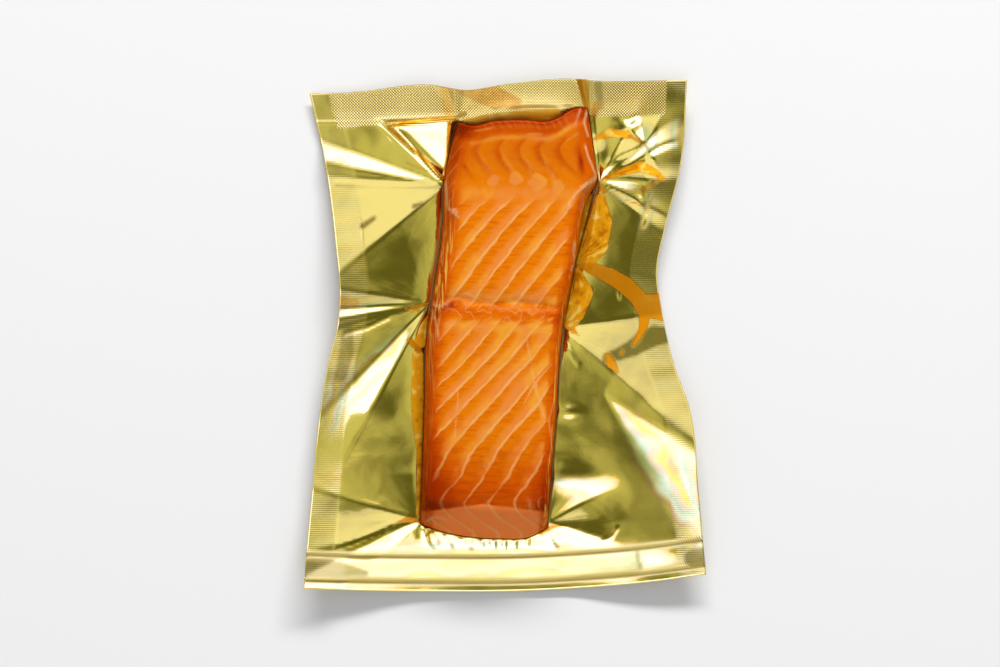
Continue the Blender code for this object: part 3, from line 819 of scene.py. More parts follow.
# Over the gold film: soft strokes, pastel ovals with the place across them, eased bands for the side and top
# seals, bells on the bottom ribs, pleats below the fillet as an eased sine, and the rays.
def goldMasks(x, y):
    field = goldLooks["fields"]
    pearl, stripe = np.zeros_like(x), np.zeros_like(x)
    for amount, *oval in pearlOvals:
        long, wide = ovalPlace(x, y, *oval)
        inside = someEase(-np.hypot(long, wide), amount, *field["ovalFade"])
        stripe = np.where(inside > pearl, wide, stripe)
        pearl = np.maximum(pearl, inside)
    fromSide = np.minimum(x - leftEdge(y), rightEdge(y) - x) / mm
    width, topWidth, soft = seals["sideWidth"], seals["topWidth"], seals["edgeSoftness"]
    sideSeal = easeTo(-fromSide, -width - soft, -width + soft)
    fromTop = (topEdge(x) - y) / mm
    topSeal = easeTo(-fromTop, -topWidth - soft, -topWidth + soft)
    inset = width - seals["topInset"]
    topSeal = topSeal * easeTo(fromSide, inset - soft, inset + soft)
    fromBottom = (y - bottomEdge(x)) / mm
    rib = sum(bell(fromBottom, line, seals["ribFade"]) for line in seals["bottomLines"])
    masks = {name: strokesMask(x, y, strokes, softness) for name, (softness, strokes) in goldStrokes.items()}
    shade = masks["shade"]
    amount, under, ribWidth = field["ribShade"]
    for line in seals["bottomLines"]:
        shade = np.maximum(shade, amount * bell(fromBottom, line - under, ribWidth))
    below = (filletBottom(x) - y) / mm
    fine, slow = field["pleatWaves"]
    pleats = easeTo(np.sin(x / (fine * mm) + 2 * np.sin(x / (slow * mm))), *field["pleatShare"])
    pleats = pleats * easeTo(below, *field["pleatsFrom"]) * easeTo(-below, *field["pleatsTo"])
    shade = np.maximum(shade, field["pleats"] * (pleats * plateau(x, *field["pleatMiddle"])))
    rays, rayStrength = nipRays(x, y)
    embossShade = topSeal * sum((someBell(x / mm, *place) for place in field["embossShadeMore"]), field["embossShade"])
    return {**masks, "shade": shade * (1 - masks["amber"]), "pearl": pearl, "stripe": stripe,
            "sideSeal": sideSeal * (1 - topSeal), "topSeal": topSeal, "rib": rib, "rays": rays,
            "rayStrength": rayStrength, "embossShade": embossShade}


# Sharp creases in the gold film, as (rise, width, path).
goldCreases = (
    (0.5, 0.8, (-32.6, -76.5), (-31.6, -82), (-29.4, -86)),
    (0.5, 0.8, (17, -77.5), (18.2, -82.7), (20.8, -86)),
    (0.25, 0.5, (44.5, -76.5), (42.5, -80), (38, -82.6)),
    (0.15, 0.6, (-24.4, 60.3), (-45, 60.4), (-68, 61.2)),
    (0.2, 0.6, (-45, -74.5), (-60, -82), (-68, -84.5)),
    (0.2, 0.6, (33.7, 18.9), (33.2, 15), (31.5, 11)),
    (0.36, 1.4, (54.4, 57.4), (56.2, 52.6)),
    (0.3, 1.2, (56.2, 46.8), (55.4, 44.6)),
    (0.16, 0.7, (45.4, 17.6), (45.8, 15.6)),
    (0.18, 0.7, (25, -5), (27, -8.5), (29.4, -11.3)),
    (0.15, 0.6, (-64, 1), (-55, 3.5), (-46.5, 7.5)),
)
outside = easeTo(distanceOutside(x, y), 0, mm)
relief = sealRelief(x, y) + waveHeight(x, y) + ridgeHeight(x, y, goldCreases)
goldTop = goldHeight(x, y) + relief * outside
goldTop = np.maximum(goldTop, (pouch["filmThickness"] + pouch["offTable"]) * mm)
goldUnder = goldTop - pouch["filmThickness"] * mm
goldFilm = closedShell("gold_back_film", x, y, goldTop, goldUnder, goldMasks(x, y), goldMaterial(),
                       ("amber", "honey", "creviceShade", "shade"))
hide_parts("vacuum_pack")


# Looks of the salmon.
salmonLooks = {
    # small waves of the fat lines as (rise, length along, length across), the number of the first band, so
    # that none is negative, and how far in from the back end its own bands reach
    "lineWobbles": ((0.15, 3.1, 7), (0.12, 1.7, -4)), "firstBand": 60, "backReach": 4.5,
    "grooveWaves": ((0.8, 4), (0.4, 1.7)),   # as (rise, length)
    # noises as (waves for a metre, detail, roughness), and how some are stretched along x, y and z
    "noises": {"wander": (260, 3), "swell": (190, 1), "fading": (90, 2), "fibres": (950, 3, 0.6),
               "blotch": (130, 4, 0.6), "cloud": (420, 3, 0.6), "pinkness": (75, 2), "loops": (210, 1.5),
               "glints": (1500, 2)},
    "stretches": {"swell": (1, 1, 0.2), "fibres": (0.16, 1, 0.2), "cloud": (1, 0.6, 0.2),
                  "glints": (1, 0.07, 0.3)},
    # the fat lines' wander and half widths in shares of a band, and the loops' half width in noise
    "lineWander": 0.2, "lineShares": (0.015, 0.17, 0.05), "loopShare": 0.07,
    # where each layer starts and is full
    "fadingFrom": (0.3, 0.55), "fibresFrom": (0.42, 0.72), "pinkFrom": (0.36, 0.56),
    "bellyPinkAndSheenFrom": (-0.063, -0.067), "deepFrom": (0, 0.7), "redFrom": (0.5, 1.2),
    "darkRedFrom": (1.15, 1.5), "milkFrom": (0.17, 1), "glintsFrom": (0.48, 0.62), "edgeShade": (0.35, 0.05),
    "orange": (0.83, 0.215, 0.002),
    "deep": (0.66, 0.095, 0.0008),
    "red": (0.36, 0.022, 0.0004),
    "darkRed": (0.20, 0.012, 0.0003),
    "milk": (0.87, 0.36, 0.035),
    "pink": (0.84, 0.27, 0.05),
    # the belly end's own pink, with a painted pale sheen of the film and painted light over it
    "bellyPinkAndSheen": (1, 0.245, 0.055),
    "fat": (0.88, 0.43, 0.13),
    "gleam": (0.84, 0.45, 0.06),
    # painted shade along the outline and at the flesh's back end, also darkening it towards the back
    "creviceShade": (0.10, 0.014, 0.001),
    "seenScale": 1.02,   # the lines are measured from above, and the flesh stands nearer to the eye
    "flankLean": 0.9,
    "flankSpacing": 5,
    "underInset": 0.12,
    "overGold": 0.05,
    "leastThickness": 0.02,
    "gapUnderFilm": 0.12,
    "endRoundness": 2.5,
    # bump heights, and how light scatters in the flesh
    "bumps": {"line": 0.03, "fibre": 0.02, "blotch": 0.06, "cloud": 0.03},
    "roughness": 0.5,
    "scatter": 0.15,
    "scatterReach": (1, 0.35, 0.15),   # red, green and blue, in millimetres
    "columns": (18, 84, 18),
    "rows": (24, 290, 14),
    # one fat line from the belly end up, as (y, x), and the distance from line to line, as (y, distance)
    "line": ((-79.5, -52.2), (-71, -63.4), (-67.5, -65.4), (-63, -63), (-59.1, -59.8), (-43.9, -50.6),
             (-31.9, -39.4), (-19.9, -27), (-9.9, -16.2), (2.5, -5.8), (10.5, 1.8), (20.9, 10.2),
             (37.7, 23.6), (51.7, 35.4), (58, 40.6), (61.5, 40.8), (66, 37.4), (72, 32), (75.5, 31.2),
             (80, 34.6), (88.5, 42)),
    "spacing": ((-80, 9.8), (-50, 9.8), (-30, 9.6), (-10, 8.6), (10, 8.8), (30, 9.4), (50, 9.3), (70, 8.3),
                (90, 8.3)),
    "backLean": -0.55,   # the fine lines where the flesh ends at its back
    "backSpacing": 3.4,
    "grooveDepth": 0.2,
    "grooveWidth": 1.1,
    "lineRise": 0.06,
    "lineWidth": 0.6,
    # the pale torn skin along the seam, and rounded milky muscle ends as (x, y, half width, half height)
    "seamLine": ((-21.4, 13.8, 0.2), (-15.5, 17, 0.35), (-8.4, 13.8, 0.2), (-2.2, 10.7, 0.4),
                 (3.7, 11.1, 0.2), (9.2, 9.9, 0.35), (20.2, 10.3, 0.2)),
    "blobs": ((-4.9, 61.2, 1.9, 2), (4.1, 62, 2.4, 2.3), (12.6, 60.8, 3, 2.8), (20.7, 59.3, 2, 2.4)),
    # thin pale streaks painted where the film is creased over the flesh, standing in for its glints, as (x,
    # y, half width), and a wedge of painted pale sheen beside one
    "streaks": (((8.4, -1.5, 0.25), (9.8, -10, 0.3), (11, -17.9, 0.35), (15.4, -32.3, 0.3)),
                ((7, -27, 0.15), (11.6, -18.4, 0.5), (18, -11, 0.15)),
                ((11.4, -18.4, 0.8), (12, -19.2, 0.6)), ((19.6, -24, 0.2), (17, -33, 0.3), (18.6, -46, 0.2)),
                ((-18.5, -20, 0.2), (-20, -40, 0.2)),
                # fibres that lean across the back end
                *(((start, 87.4, 0.05), (start + 1.9, 84.8, 0.2), (start + 3.6, 82.2, 0.05))
                  for start in range(-14, 24, 3))),
    "sheenWedge": ((11.6, -20, 0.4), (14, -28, 1.5), (14.6, -31, 1)),
    "smudges": (((-12, 81, 0.5), (-5.5, 82, 0.7)), ((9, 79.8, 0.4), (14, 79.8, 0.4)),
                ((24, 77, 0.4), (29.5, 80.5, 0.8), (32, 80, 0.6)), ((24.5, 9, 0.5), (17, 6.5, 0.7))),
    # fields over the fillet, in millimetres along it (y), across it (x) or in from an edge, or in shares of
    # one band: spans are (nothing at, full at) and bells (middle, width), after an amount where one is given,
    # the belly's spans count downwards, and negative spans are of the place's negative, so they fade where
    # it grows
    "fields": {
        "belly": (30, 72), "back": (50, 56), "onTop": (-0.5, 2.5, 0, 2),
        # the cut end of the belly, bowed from its middle
        "bellyEnd": (65.6, 67), "endMiddle": -9, "endBow": 0.12,
        # redness from each side as (amount, start, reach), and what the belly adds to the left reach
        "plainRed": 0.05, "bellyRed": 0.72, "leftRed": (0.7, 3.4, 3.6), "bellyReach": 4.5,
        "rightRed": (0.5, 2, 3.6),
        # redness of the back end: two steps in from its edge and one along the fillet, as (amount, span)
        "edgeReds": ((0.5, -8, -4), (0.35, -3, -1.4)), "backRed": (0.16, 58, 74),
        # folded muscle at the back: its span in each band and along the fillet, fading in and out
        "folds": 0.34, "foldShares": ((0.4, 0.84), (-0.94, -0.86)), "foldPlaces": ((60, 66), (-80, -77)),
        "patch": (0.8, (30.4, 2), (67.6, 4)),
        # the red seam, its wave, the red nip beside it and the red wedge below it, and how much the flesh
        # darkens towards its back end
        "seam": (0.4, 9.2, 3.6), "seamLean": 0.06, "seamWave": (1.2, 2.6), "nip": (0.6, -21.4, 12.6, 1.6),
        "redWedge": (0.25, ((7, 3.5, 2), (10.6, -14, 0.6)), 0.8), "dim": (0.22, 48, 78),
        # milky blobs: an uneven outline, a tail towards the upper left, a core and a brighter rim
        "blobWaves": (0.15, 1.3, 1.1), "tail": ((-6, 12, 0.8), (-3.2, 6, 1.6)), "tailMilk": (0.5, 1.6),
        "core": (0.6, -1.25, -0.5), "blobRim": (1.3, 0.9, 0.2),
        # milky haze along the fillet and in from its back end, a painted pale sheen of the film on the cut
        # end (which also lightens that end, turned from the key light), and milk beside the seam
        "haze": (0.7, 56, 3.6), "endHaze": (0.7, 7.4, 1.5), "cutEndSheen": 0.85,
        "seamMilk": (0.5, 15.5, 1.8), "lowMilk": (0.75, 3.4, 2.2), "lowLean": 0.05,
        "smudgeMilk": (0.75, 0.9), "besideLines": (0.9, 0.2, 0.9), "calmSeam": (0.9, 9, 4.2),
        "middleMilk": (0.4, (-14, 16), (2, 16)), "sheenWedgeMilk": (0.5, 0.6),
        # how sharp the fat lines are: along the fillet, at its back end and on the left flank
        "sharpTo": (-56, -49), "softSeam": (0.97, 8.5, 4.5), "endSharp": (0.35, -4.5, -3.5),
        "flankFade": (0.7, 1.5), "flankStart": (0.8, 1.6), "flankSharp": (0.12, 0.5, 36, 46),
        # the torn skin along the seam and the painted glints of the film's creases, then the web of loops
        "tornSkin": (0.6, 0.5), "creaseGlintStreaks": (0.8, 0.3), "web": (9, 4.6), "backWeb": (0.12, 66, 14),
        # painted gleam of the creased film on the left flank, and a thin line of it on the right
        "gleamStart": (0.7, 1.2), "gleamFade": (0.3, 0.5), "gleam": (0.1, 0.8, 24, 28), "gleamTo": (-70, -50),
        "thinGleam": (0.9, 1.5, 0.45), "thinGleamTo": (-72, -50),
    },
}
# Film creases over the fillet, as (how strong their painted highlight is, rise, width, path).
filmCreases = (
    (0, 0.16, 0.5, (8.2, -1.9), (11, -17.9), (15.4, -32.3)),
    (1, 0.5, 0.45, (36, 62.5), (31.5, 59), (28.6, 57), (26.2, 54), (24.2, 50.2)),
    (0.7, 0.3, 0.9, (36.4, 63), (33, 60.6), (30, 58.4)),
    (0.9, 0.5, 0.4, (31.4, 74.8), (32.6, 70.5), (35.6, 64)),
    (0.4, 0.3, 0.3, (34.6, 61), (30.6, 56), (29.6, 50)),
    (0.8, 0.5, 0.4, (-23.8, 61.3), (-22.8, 50.5), (-18.2, 46.6)),
    (0.5, 0.3, 1, (-20.4, 49.6), (-19.4, 48.8)),
    (0.6, 0.4, 0.5, (-29, 13), (-26, 11.5), (-22.5, 13.4)),
    (0.6, 0.4, 0.4, (-29.4, 11), (-27.2, 5), (-26.4, -1)),
    (0.7, 0.4, 0.45, (27.6, 29.5), (26.8, 33), (27, 37)),
    (0.6, 0.4, 0.6, (28, 29), (26, 26.5)),
    (0.8, 0.5, 0.4, (32.6, 90), (31, 84.5), (32.6, 79)),
    (0.5, 0.4, 0.3, (29.5, 89.5), (27.6, 84)),
    (0.35, 0.3, 0.35, (16.4, -75), (11, -72), (9, -64)),
    (0.7, 0.3, 0.4, (-33, -75), (-28, -71.5), (-24, -72.5)),
)
fatLine, lineSpacing = smoothCurve(salmonLooks["line"]), smoothCurve(salmonLooks["spacing"])


# Which muscle band a place is in: whole numbers lie on the fat lines, and the share grows to the right.
def bandNumber(x, y):
    look = salmonLooks
    wobble = sum(rise * mm * np.sin(y / (along * mm) + x / (across * mm))
                 for rise, along, across in look["lineWobbles"])
    seenX, seenY = x * look["seenScale"], y * look["seenScale"]
    onTop = (seenX - fatLine(seenY) + wobble) / lineSpacing(seenY)
    onFlank = (x - look["flankLean"] * y) / (look["flankSpacing"] * mm)
    onBack = (x - look["backLean"] * y) / (look["backSpacing"] * mm)
    onTop = np.where(fleshEnd(x) - y < look["backReach"] * mm, onBack, onTop)
    return np.where(x - filletLeft(y) < flankWidths(y)[0], onFlank, onTop) + look["firstBand"]


# Redness fading inwards from a side: full up to the start, then falling over the reach.
def sideFade(distance, start, reach):
    return np.exp(-(np.maximum(distance - start, 0) / reach) ** 1.5)


# Milky blobs: an ellipse with a wavy outline, its core eased, its rim a bell, and a stroke for its tail.
def milkyBlobs(x, y):
    field = salmonLooks["fields"]
    wave, longWave, shortWave = field["blobWaves"]
    tailAmount, tailSoftness = field["tailMilk"]
    blobs = np.zeros_like(x)
    for blobX, blobY, halfWidth, halfHeight in salmonLooks["blobs"]:
        away = np.hypot(x / mm - blobX, (y / mm - blobY) * halfWidth / halfHeight) / halfWidth
        away = away + wave * np.sin(x / (longWave * mm) + 2 * np.sin(y / (shortWave * mm)))
        tail = [(blobX + right, blobY + up, width) for right, up, width in field["tail"]]
        tail = (*tail, (blobX, blobY, halfWidth * 0.8))
        core = someEase(-away, *field["core"])
        blobs = np.maximum(blobs, tailAmount * strokeMask(x, y, tail, tailSoftness) + core)
        blobs = np.maximum(blobs, someBell(away, *field["blobRim"]))
    return blobs


# Over the fillet: its bands, redness, milkiness, torn skin with painted crease glints, how sharp the fat
# lines are, the distance from the outline and the rest, each from eased steps and bells over millimetres from
# an edge or a place.
def salmonMasks(x, y):
    field = salmonLooks["fields"]
    fromLeft, fromRight = (x - filletLeft(y)) / mm, (filletRight(y) - x) / mm
    aboveTop, belowBottom = (past / mm for past in pastEnds(x, y))
    across, along, fromEnd = x / mm, y / mm, (fleshEnd(x) - y) / mm
    leftWide, rightWide = (width / mm for width in flankWidths(y))
    share = np.mod(bandNumber(x, y), 1)
    leftLow, leftHigh, rightLow, rightHigh = field["onTop"]
    onTop = easeTo(fromLeft, leftWide + leftLow, leftWide + leftHigh)
    onTop = onTop * easeTo(fromRight, rightWide + rightLow, rightWide + rightHigh)
    belly = easeTo(-along, *field["belly"])
    back = easeTo(along, *field["back"])   # towards the back end the lines soften to folded muscle
    bellyEnd = easeTo(-along - field["endBow"] * np.abs(across - field["endMiddle"]), *field["bellyEnd"])

    amount, start, reach = field["leftRed"]
    leftRed = sideFade(fromLeft, start, reach + field["bellyReach"] * belly)
    red = field["plainRed"] + field["bellyRed"] * belly * (1 - 0.9 * bellyEnd) + amount * leftRed
    amount, start, reach = field["rightRed"]
    red = red + amount * sideFade(fromRight, start, reach)
    wave, waveLength = field["seamWave"]
    seamPlace = along + field["seamLean"] * across
    seam = someBell(seamPlace + wave * np.sin(x / (waveLength * mm)), *field["seam"])
    amount, nipX, nipY, reach = field["nip"]
    seam = seam + amount * bell(np.hypot(across - nipX, along - nipY), 0, reach)
    amount, path, softness = field["redWedge"]
    red = red + seam + amount * strokeMask(x, y, path, softness)
    backRed = sum(someEase(-fromEnd, *step) for step in field["edgeReds"])
    backRed = backRed + someEase(along, *field["backRed"])
    folded = easeTo(share, *field["foldShares"][0]) * easeTo(-share, *field["foldShares"][1])
    folded = field["folds"] * folded * easeTo(along, *field["foldPlaces"][0])
    folded = folded * easeTo(-along, *field["foldPlaces"][1])
    amount, patchX, patchY = field["patch"]
    red = red + backRed + (folded + amount * bell(across, *patchX) * bell(along, *patchY)) * onTop

    haze = someBell(along, *field["haze"]) + someBell(fromEnd, *field["endHaze"])
    haze = haze + field["cutEndSheen"] * bellyEnd
    seamMilk = someBell(seamPlace, *field["seamMilk"])
    seamMilk = seamMilk + someBell(along + field["lowLean"] * across, *field["lowMilk"])
    smudgeAmount, softness = field["smudgeMilk"]
    smudges = np.max([strokeMask(x, y, path, softness) for path in salmonLooks["smudges"]], 0)
    besideAmount, *besideSpan = field["besideLines"]
    beside = easeTo(share, *besideSpan) * (1 - back) * (1 - 0.85 * belly)
    beside = beside * (1 - someBell(along, *field["calmSeam"]))
    amount, middleY, middleX = field["middleMilk"]
    middle = amount * bell(along, *middleY) * bell(across, *middleX)
    milk = milkyBlobs(x, y) + haze + seamMilk + besideAmount * beside + smudgeAmount * smudges + middle
    milk = milk * (1 - np.clip(1.15 * leftRed, 0, 1) * (1 - 0.7 * bellyEnd))
    amount, softness = field["sheenWedgeMilk"]
    milk = milk + amount * strokeMask(x, y, salmonLooks["sheenWedge"], softness)

    sharp = easeTo(-along, *field["sharpTo"]) * (1 - someBell(along, *field["softSeam"]))
    sharp = (sharp + someEase(-fromEnd, *field["endSharp"])) * onTop
    low, high = field["flankFade"]
    flank = easeTo(-fromLeft, low - leftWide, high - leftWide) * easeTo(fromLeft, *field["flankStart"])
    least, *more = field["flankSharp"]
    sharp = sharp + flank * (least + someEase(along, *more))
    amount, softness = field["creaseGlintStreaks"]
    streaks = np.max([strokeMask(x, y, path, softness) for path in salmonLooks["streaks"]], 0)
    seamAmount, softness = field["tornSkin"]
    tornSkinAndGlints = np.maximum(strokeMask(x, y, salmonLooks["seamLine"], softness) * seamAmount, amount * streaks)
    web = bell(along, *field["web"]) + someBell(along, *field["backWeb"])
    fibre = (1.2 + 0.4 * belly) * (1 - 0.75 * back) * (1 - 0.8 * bellyEnd)

    low, high = field["gleamFade"]
    gleam = easeTo(fromLeft, *field["gleamStart"]) * easeTo(-fromLeft, -leftWide - low, high - leftWide)
    least, *more = field["gleam"]
    gleam = gleam * (least + someBell(along, *more)) * easeTo(-along, *field["gleamTo"])
    thinGleam = someBell(fromRight, *field["thinGleam"]) * easeTo(-along, *field["thinGleamTo"])
    # How near the outline, which carries the painted shade along it; at the back end the nearness to where
    # the flesh ends counts too.
    edge = np.minimum(np.minimum(fromLeft, fromRight), np.minimum(-aboveTop, -belowBottom))
    return {"band": bandNumber(x, y), "red": np.clip(red, 0, 1.5),
            "milk": np.clip(milk, 0, 1) * (0.3 + 0.7 * onTop), "tornSkinAndGlints": tornSkinAndGlints, "web": web * onTop,
            "sharp": np.clip(sharp * (1 - 0.3 * bellyEnd), 0, 1), "edge": np.minimum(edge, 0.4 * fromEnd),
            "fibre": fibre, "dim": someEase(along, *field["dim"]), "gleam": np.maximum(gleam, thinGleam)}


# Salmon: orange flesh in bands that redden towards the belly and the sides, milky beside each fat line,
# with fine fibres nearly across, painted highlights of the film's creases and gleam, and dark brown painted
# shade along the outline, which also darkens the flesh towards its back end.
def salmonMaterial():
    look = salmonLooks
    material, graph = newMaterial("salmon")
    place = graph.places()
    along = graph.node("SeparateXYZ", {0: place}, output=1)
    band, red, milk, sharp = graph.attributes("band", "red", "milk", "sharp")
    edge, tornSkinAndGlints, web, dim, gleam = graph.attributes("edge", "tornSkinAndGlints", "web", "dim", "gleam")

    # One of the noises of the table, stretched where the table says so.
    def grain(name):
        stretch = look["stretches"].get(name)
        return graph.noise(graph.scaled(place, *stretch) if stretch else place, *look["noises"][name])

    wander = grain("wander") - 0.5
    fromLine = graph.maths("PINGPONG", band + wander * look["lineWander"], 0.5)
    swell = grain("swell")
    least, most, core = look["lineShares"]
    line = graph.ease(fromLine, least + swell * most, swell * core) * sharp
    line = line * (graph.ease(grain("fading"), *look["fadingFrom"]) * 0.6 + 0.4)
    fibreShare = graph.ease(grain("fibres"), *look["fibresFrom"]) * graph.attribute("fibre")
    blotch = grain("blotch") - 0.5
    cloud = grain("cloud") - 0.5
    milky = graph.blend(graph.ease(grain("pinkness"), *look["pinkFrom"]), look["milk"], look["pink"])
    milky = graph.blend(graph.ease(along, *look["bellyPinkAndSheenFrom"]), milky, look["bellyPinkAndSheen"])
    loops = graph.ease(graph.maths("ABSOLUTE", grain("loops") - 0.5), look["loopShare"], 0) * web * 0.5
    # The torn skin, with its painted crease glints, is drawn in the fat colour.
    line = graph.maths("MAXIMUM", line, graph.maths("MAXIMUM", loops, tornSkinAndGlints * graph.ease(cloud, -0.3, 0)))
    glints = grain("glints")
    flesh = graph.layers(
        look["orange"], (graph.ease(red + blotch * 0.5, *look["deepFrom"]), look["deep"]),
        (graph.ease(red + blotch * 0.5, *look["redFrom"]), look["red"]),
        (graph.ease(red + blotch * 0.3, *look["darkRedFrom"]), look["darkRed"]),
        (fibreShare * 0.5 * (1 - milk * 0.8), graph.blend(red, look["deep"], look["red"])),
        (graph.ease(milk + blotch * 0.8 + cloud * 0.5, *look["milkFrom"]) * 0.92, milky),
        (line * (0.92 - red * 0.65), look["fat"]),
        # Painted highlight: the gleam of the creased film on the flanks.
        (graph.ease(glints, *look["glintsFrom"]) * gleam, look["gleam"]),
        # Painted shade: darker towards the back end, and dark brown along the outline.
        (dim, look["creviceShade"]), (graph.ease(edge, *look["edgeShade"]), look["creviceShade"]))
    bumps = look["bumps"]
    relief = line * bumps["line"] + fibreShare * bumps["fibre"] + blotch * bumps["blotch"]
    relief = relief + cloud * bumps["cloud"]
    body = graph.node("BsdfPrincipled", {
        "Base Color": flesh, "Roughness": look["roughness"], "Specular IOR Level": 0,
        "Subsurface Weight": look["scatter"], "Subsurface Scale": mm,
        "Subsurface Radius": look["scatterReach"], "Normal": graph.bump(relief, mm)})
    graph.node("OutputMaterial", {"Surface": body})
    return material


look = salmonLooks
fx, fy = planGrid(look["columns"], look["rows"], filletAcross, fleshAlong)


# The uneven groove where the fillet is scored across: a bell-shaped hollow along a wandering line.
def grooveDepth(x, y):
    wander = sum(rise * mm * np.sin(x / (length * mm)) for rise, length in salmonLooks["grooveWaves"])
    at = fillet["seamAt"] * mm + fillet["seamTilt"] * x + wander
    return salmonLooks["grooveDepth"] * mm * bell(y, at, salmonLooks["grooveWidth"] * mm)


fleshUnder = goldHeight(fx, fy, look["underInset"]) + look["overGold"] * mm
share = filletShare(fx, fy) * shoulder((fleshEnd(fx) - fy) / (fillet["endFlank"] * mm), look["endRoundness"])
fromLine = np.abs(np.mod(bandNumber(fx, fy) + 0.5, 1) - 0.5) * lineSpacing(fy)
lineRise = look["lineRise"] * mm * bell(fromLine, 0, look["lineWidth"] * mm)
fleshTop = rimHeight(fx, fy) + (filletHeight(fx, fy) - rimHeight(fx, fy)) * share
sunk = grooveDepth(fx, fy) + look["lineRise"] * mm - lineRise
fleshTop = fleshTop - look["gapUnderFilm"] * mm - sunk * share
fleshTop = np.maximum(fleshTop, fleshUnder + look["leastThickness"] * mm)
salmon = closedShell("salmon_fillet", fx, fy, fleshTop, fleshUnder, salmonMasks(fx, fy), salmonMaterial())


# Looks of the clear front film.
clearLooks = {"thickness": 0.08, "overGold": 0.04, "gloss": (1, 0.60, 0.12), "roughness": 0.06,
              "mirror": 0.004, "edgeMirror": 0.14, "haze": (1, 0.62, 0.26), "hazeAmount": 0.62,
              "creaseGlint": 0.75, "hazeWidth": 0.75, "hazeSoftness": 0.5, "bellySheen": 0.04,
              "bellyFrom": (67, 68.2), "hazeFrom": (0.2, 0.6)}   # haze only where the film is on the fillet


# Clear film: see-through, with a thin gloss that grows at the edges of what it covers, and a faint diffuse
# haze where it stands off the fillet: painted highlight along the film's creases and painted sheen over the
# belly end.
def clearMaterial():
    look = clearLooks
    material, graph = newMaterial("clear_film")
    through = graph.node("BsdfTransparent")
    gloss = graph.node("BsdfGlossy", {"Color": (*look["gloss"], 1), "Roughness": look["roughness"]})
    facing = graph.node("LayerWeight", {"Blend": 0.5}, output=1)
    share = look["mirror"] + look["edgeMirror"] * facing**5
    surface = graph.node("MixShader", {0: share, 1: through, 2: gloss})
    # The diffuse haze is painted highlight: pale colour along the creases in place of their glints.
    cloud = graph.node("BsdfDiffuse", {"Color": (*look["haze"], 1)})
    haze = graph.attribute("haze") * look["hazeAmount"]
    surface = graph.node("MixShader", {0: haze, 1: surface, 2: cloud})
    graph.node("OutputMaterial", {"Surface": surface})
    return material


# Painted highlight as a haze from 0 to 1: along the film's creases and, as a pale sheen, over the belly end.
def filmGlints(x, y):
    creases = np.zeros_like(x)
    for haze, _, width, *path in filmCreases:
        stroke = [(*point, width * clearLooks["hazeWidth"]) for point in path]
        creases = np.maximum(creases, haze * strokeMask(x, y, stroke, clearLooks["hazeSoftness"]))
    field, (low, high) = salmonLooks["fields"], clearLooks["bellyFrom"]
    fromMiddle = np.abs(x - field["endMiddle"] * mm)
    bellyEnd = easeTo(-y - field["endBow"] * fromMiddle, low * mm, high * mm)
    haze = creases * clearLooks["creaseGlint"] + bellyEnd * clearLooks["bellySheen"]
    return np.clip(haze, 0, 1) * easeTo(filletShare(x, y), *clearLooks["hazeFrom"])


rimTop = rimHeight(x, y)
share = filletShare(x, y)
clearUnder = rimTop + (filletHeight(x, y) - rimTop) * share - clearLooks["thickness"] * mm
creases = [crease[1:] for crease in filmCreases]
clearUnder = clearUnder + ridgeHeight(x, y, creases) * easeTo(share, 0.3, 0.8)
clearUnder = np.maximum(clearUnder, goldTop + clearLooks["overGold"] * mm)
clearFilm = closedShell("clear_front_film", x, y, clearUnder + clearLooks["thickness"] * mm, clearUnder,
                        {"haze": filmGlints(x, y)}, clearMaterial())


# Table, lights and camera, in metres and watts.
studio = {
    "panelHeight": 1.5,
    "hot": (1.4, 1.45, 3.3),
    "pale": (0.37, 0.36, 0.55),
    # reflection panels as (x from, x to, y from, y to, colour name), in metres
    "panels": ((-0.45, 1.5, 0.33, 0.97, "pale"), (-1.6, 1.6, 1.03, 2.6, "hot"),
               (-2.4, -0.55, 0.10, 0.97, "hot"), (-1.6, 0.9, -1.9, -0.62, "hot"),
               (0.8, 1.9, -1.2, 0.33, "pale"),
               (-1.6, 0.9, -0.62, -0.52, "mint"), (-1.6, 0.9, -0.52, -0.46, "rose"),
               (-1.6, 0.9, -0.46, -0.43, "amber")),
    # the coloured fringes of the front panel
    "mint": (0.55, 0.85, 2.4),
    "rose": (0.85, 0.62, 1.7),
    "amber": (0.80, 0.50, 0.05),
    "darkOlive": (0.11, 0.115, 0.025),
    "lightOlive": (0.62, 0.64, 0.30),
    "darkTowards": (0.09, 0.04, 1),
    "darkReach": (0.06, 0.42),
    "horizon": (0.7, 0.7, 0.7),
    "backdrop": (0.9, 0.9, 0.9),
    "fill": (0.36, 0.36, 0.36),
    "horizonReach": (0.55, 0.25),
    "patchScale": 7,
    "patchStrength": 0.3,
    "tableReach": 3,
    "tableColour": (0.86, 0.86, 0.86),
    "keyAt": (0.45, 3, 1.24),
    "keySize": (2.8, 0.36),
    "keyPower": 180,
    # a broad light from the front
    "frontAt": (0, -1.5, 2),
    "frontSize": (2, 2),
    "frontPower": 11,
}
camera = {"at": (-2.2, 1.1, 905), "lens": 81, "sensor": 36}   # millimetres


# A flat light that shows either in gloss alone or in all but gloss.
def makeLight(name, at, size, sizeY, energy, colour, seenInGloss):
    data = bpy.data.lights.new(name, "AREA")
    data.shape = "RECTANGLE"
    data.size, data.size_y = size, sizeY
    data.energy, data.color = energy, colour
    lamp = bpy.data.objects.new(name, data)
    lamp.location = at
    lamp.visible_camera = False
    lamp.visible_glossy = seenInGloss
    lamp.visible_diffuse = not seenInGloss
    bpy.context.scene.collection.objects.link(lamp)
    return lamp


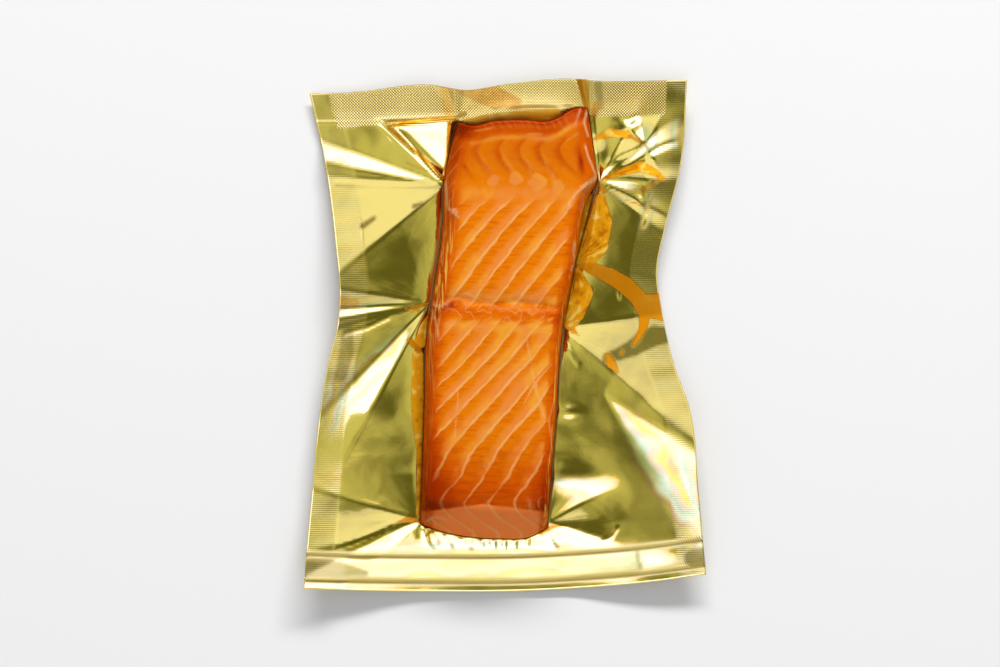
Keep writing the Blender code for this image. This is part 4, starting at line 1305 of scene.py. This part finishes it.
# Flat panels that only glossy surfaces see: their power is pi times area times radiance.
for number, (left, right, near, far, colourName) in enumerate(studio["panels"]):
    colour = np.array(studio[colourName])
    area = (right - left) * (far - near)
    strongest = colour.max()
    middle = ((left + right) / 2, (near + far) / 2, studio["panelHeight"])
    makeLight(f"panel_{number}", middle, right - left, far - near, np.pi * area * strongest,
              tuple(colour / strongest), True)
for name in ("key", "front"):
    at, size, power = (studio[name + value] for value in ("At", "Size", "Power"))
    lamp = makeLight(name, at, *size, power, (1, 1, 1), False)
    lamp.rotation_euler = (-Vector(at)).to_track_quat("-Z", "Y").to_euler()


# World: the camera sees a pale backdrop, diffuse surfaces an even fill, and glossy ones an olive room that is
# darkest overhead and pale at the horizon.
def makeWorld():
    world = bpy.data.worlds.new("studio")
    bpy.context.scene.world = world
    world.use_nodes = True
    graph = Graph(world.node_tree)
    direction = graph.node("TexCoord")
    up = graph.node("SeparateXYZ", {0: direction}, output=2)
    dark = Vector(studio["darkTowards"]).normalized()
    away = graph.node("VectorMath", {0: direction, 1: dark}, output=1, operation="DISTANCE")
    patches = (graph.noise(direction, studio["patchScale"], 1) - 0.5) * studio["patchStrength"]
    light = graph.ease(away + patches, *studio["darkReach"])
    olive = graph.blend(light, studio["darkOlive"], studio["lightOlive"])
    low = graph.ease(up, *studio["horizonReach"])
    room = graph.blend(low, olive, studio["horizon"])
    path = graph.node("LightPath")
    seen = graph.blend(path.other("Is Glossy Ray"), studio["fill"], room)
    seen = graph.blend(path.other("Is Camera Ray"), seen, studio["backdrop"])
    back = graph.node("Background", {"Color": seen})
    graph.node("OutputWorld", {"Surface": back})


makeWorld()

tableMesh = bpy.data.meshes.new("table")
reach = studio["tableReach"]
corners = [(-reach, -reach, 0), (reach, -reach, 0), (reach, reach, 0), (-reach, reach, 0)]
tableMesh.from_pydata(corners, [], [(0, 1, 2, 3)])
table = bpy.data.objects.new("table", tableMesh)
bpy.context.scene.collection.objects.link(table)
tableMaterial, graph = newMaterial("pale_table")
matt = graph.node("BsdfPrincipled", {
    "Base Color": (*studio["tableColour"], 1), "Roughness": 0.8, "Specular IOR Level": 0.1})
graph.node("OutputMaterial", {"Surface": matt})
tableMesh.materials.append(tableMaterial)

cameraData = bpy.data.cameras.new("camera")
cameraData.lens, cameraData.sensor_width = camera["lens"], camera["sensor"]
eye = bpy.data.objects.new("camera", cameraData)
eye.location = np.array(camera["at"]) * mm + [*footprintShift, 0]
bpy.context.scene.collection.objects.link(eye)
bpy.context.scene.camera = eye
bpy.context.scene.view_settings.view_transform = "Standard"
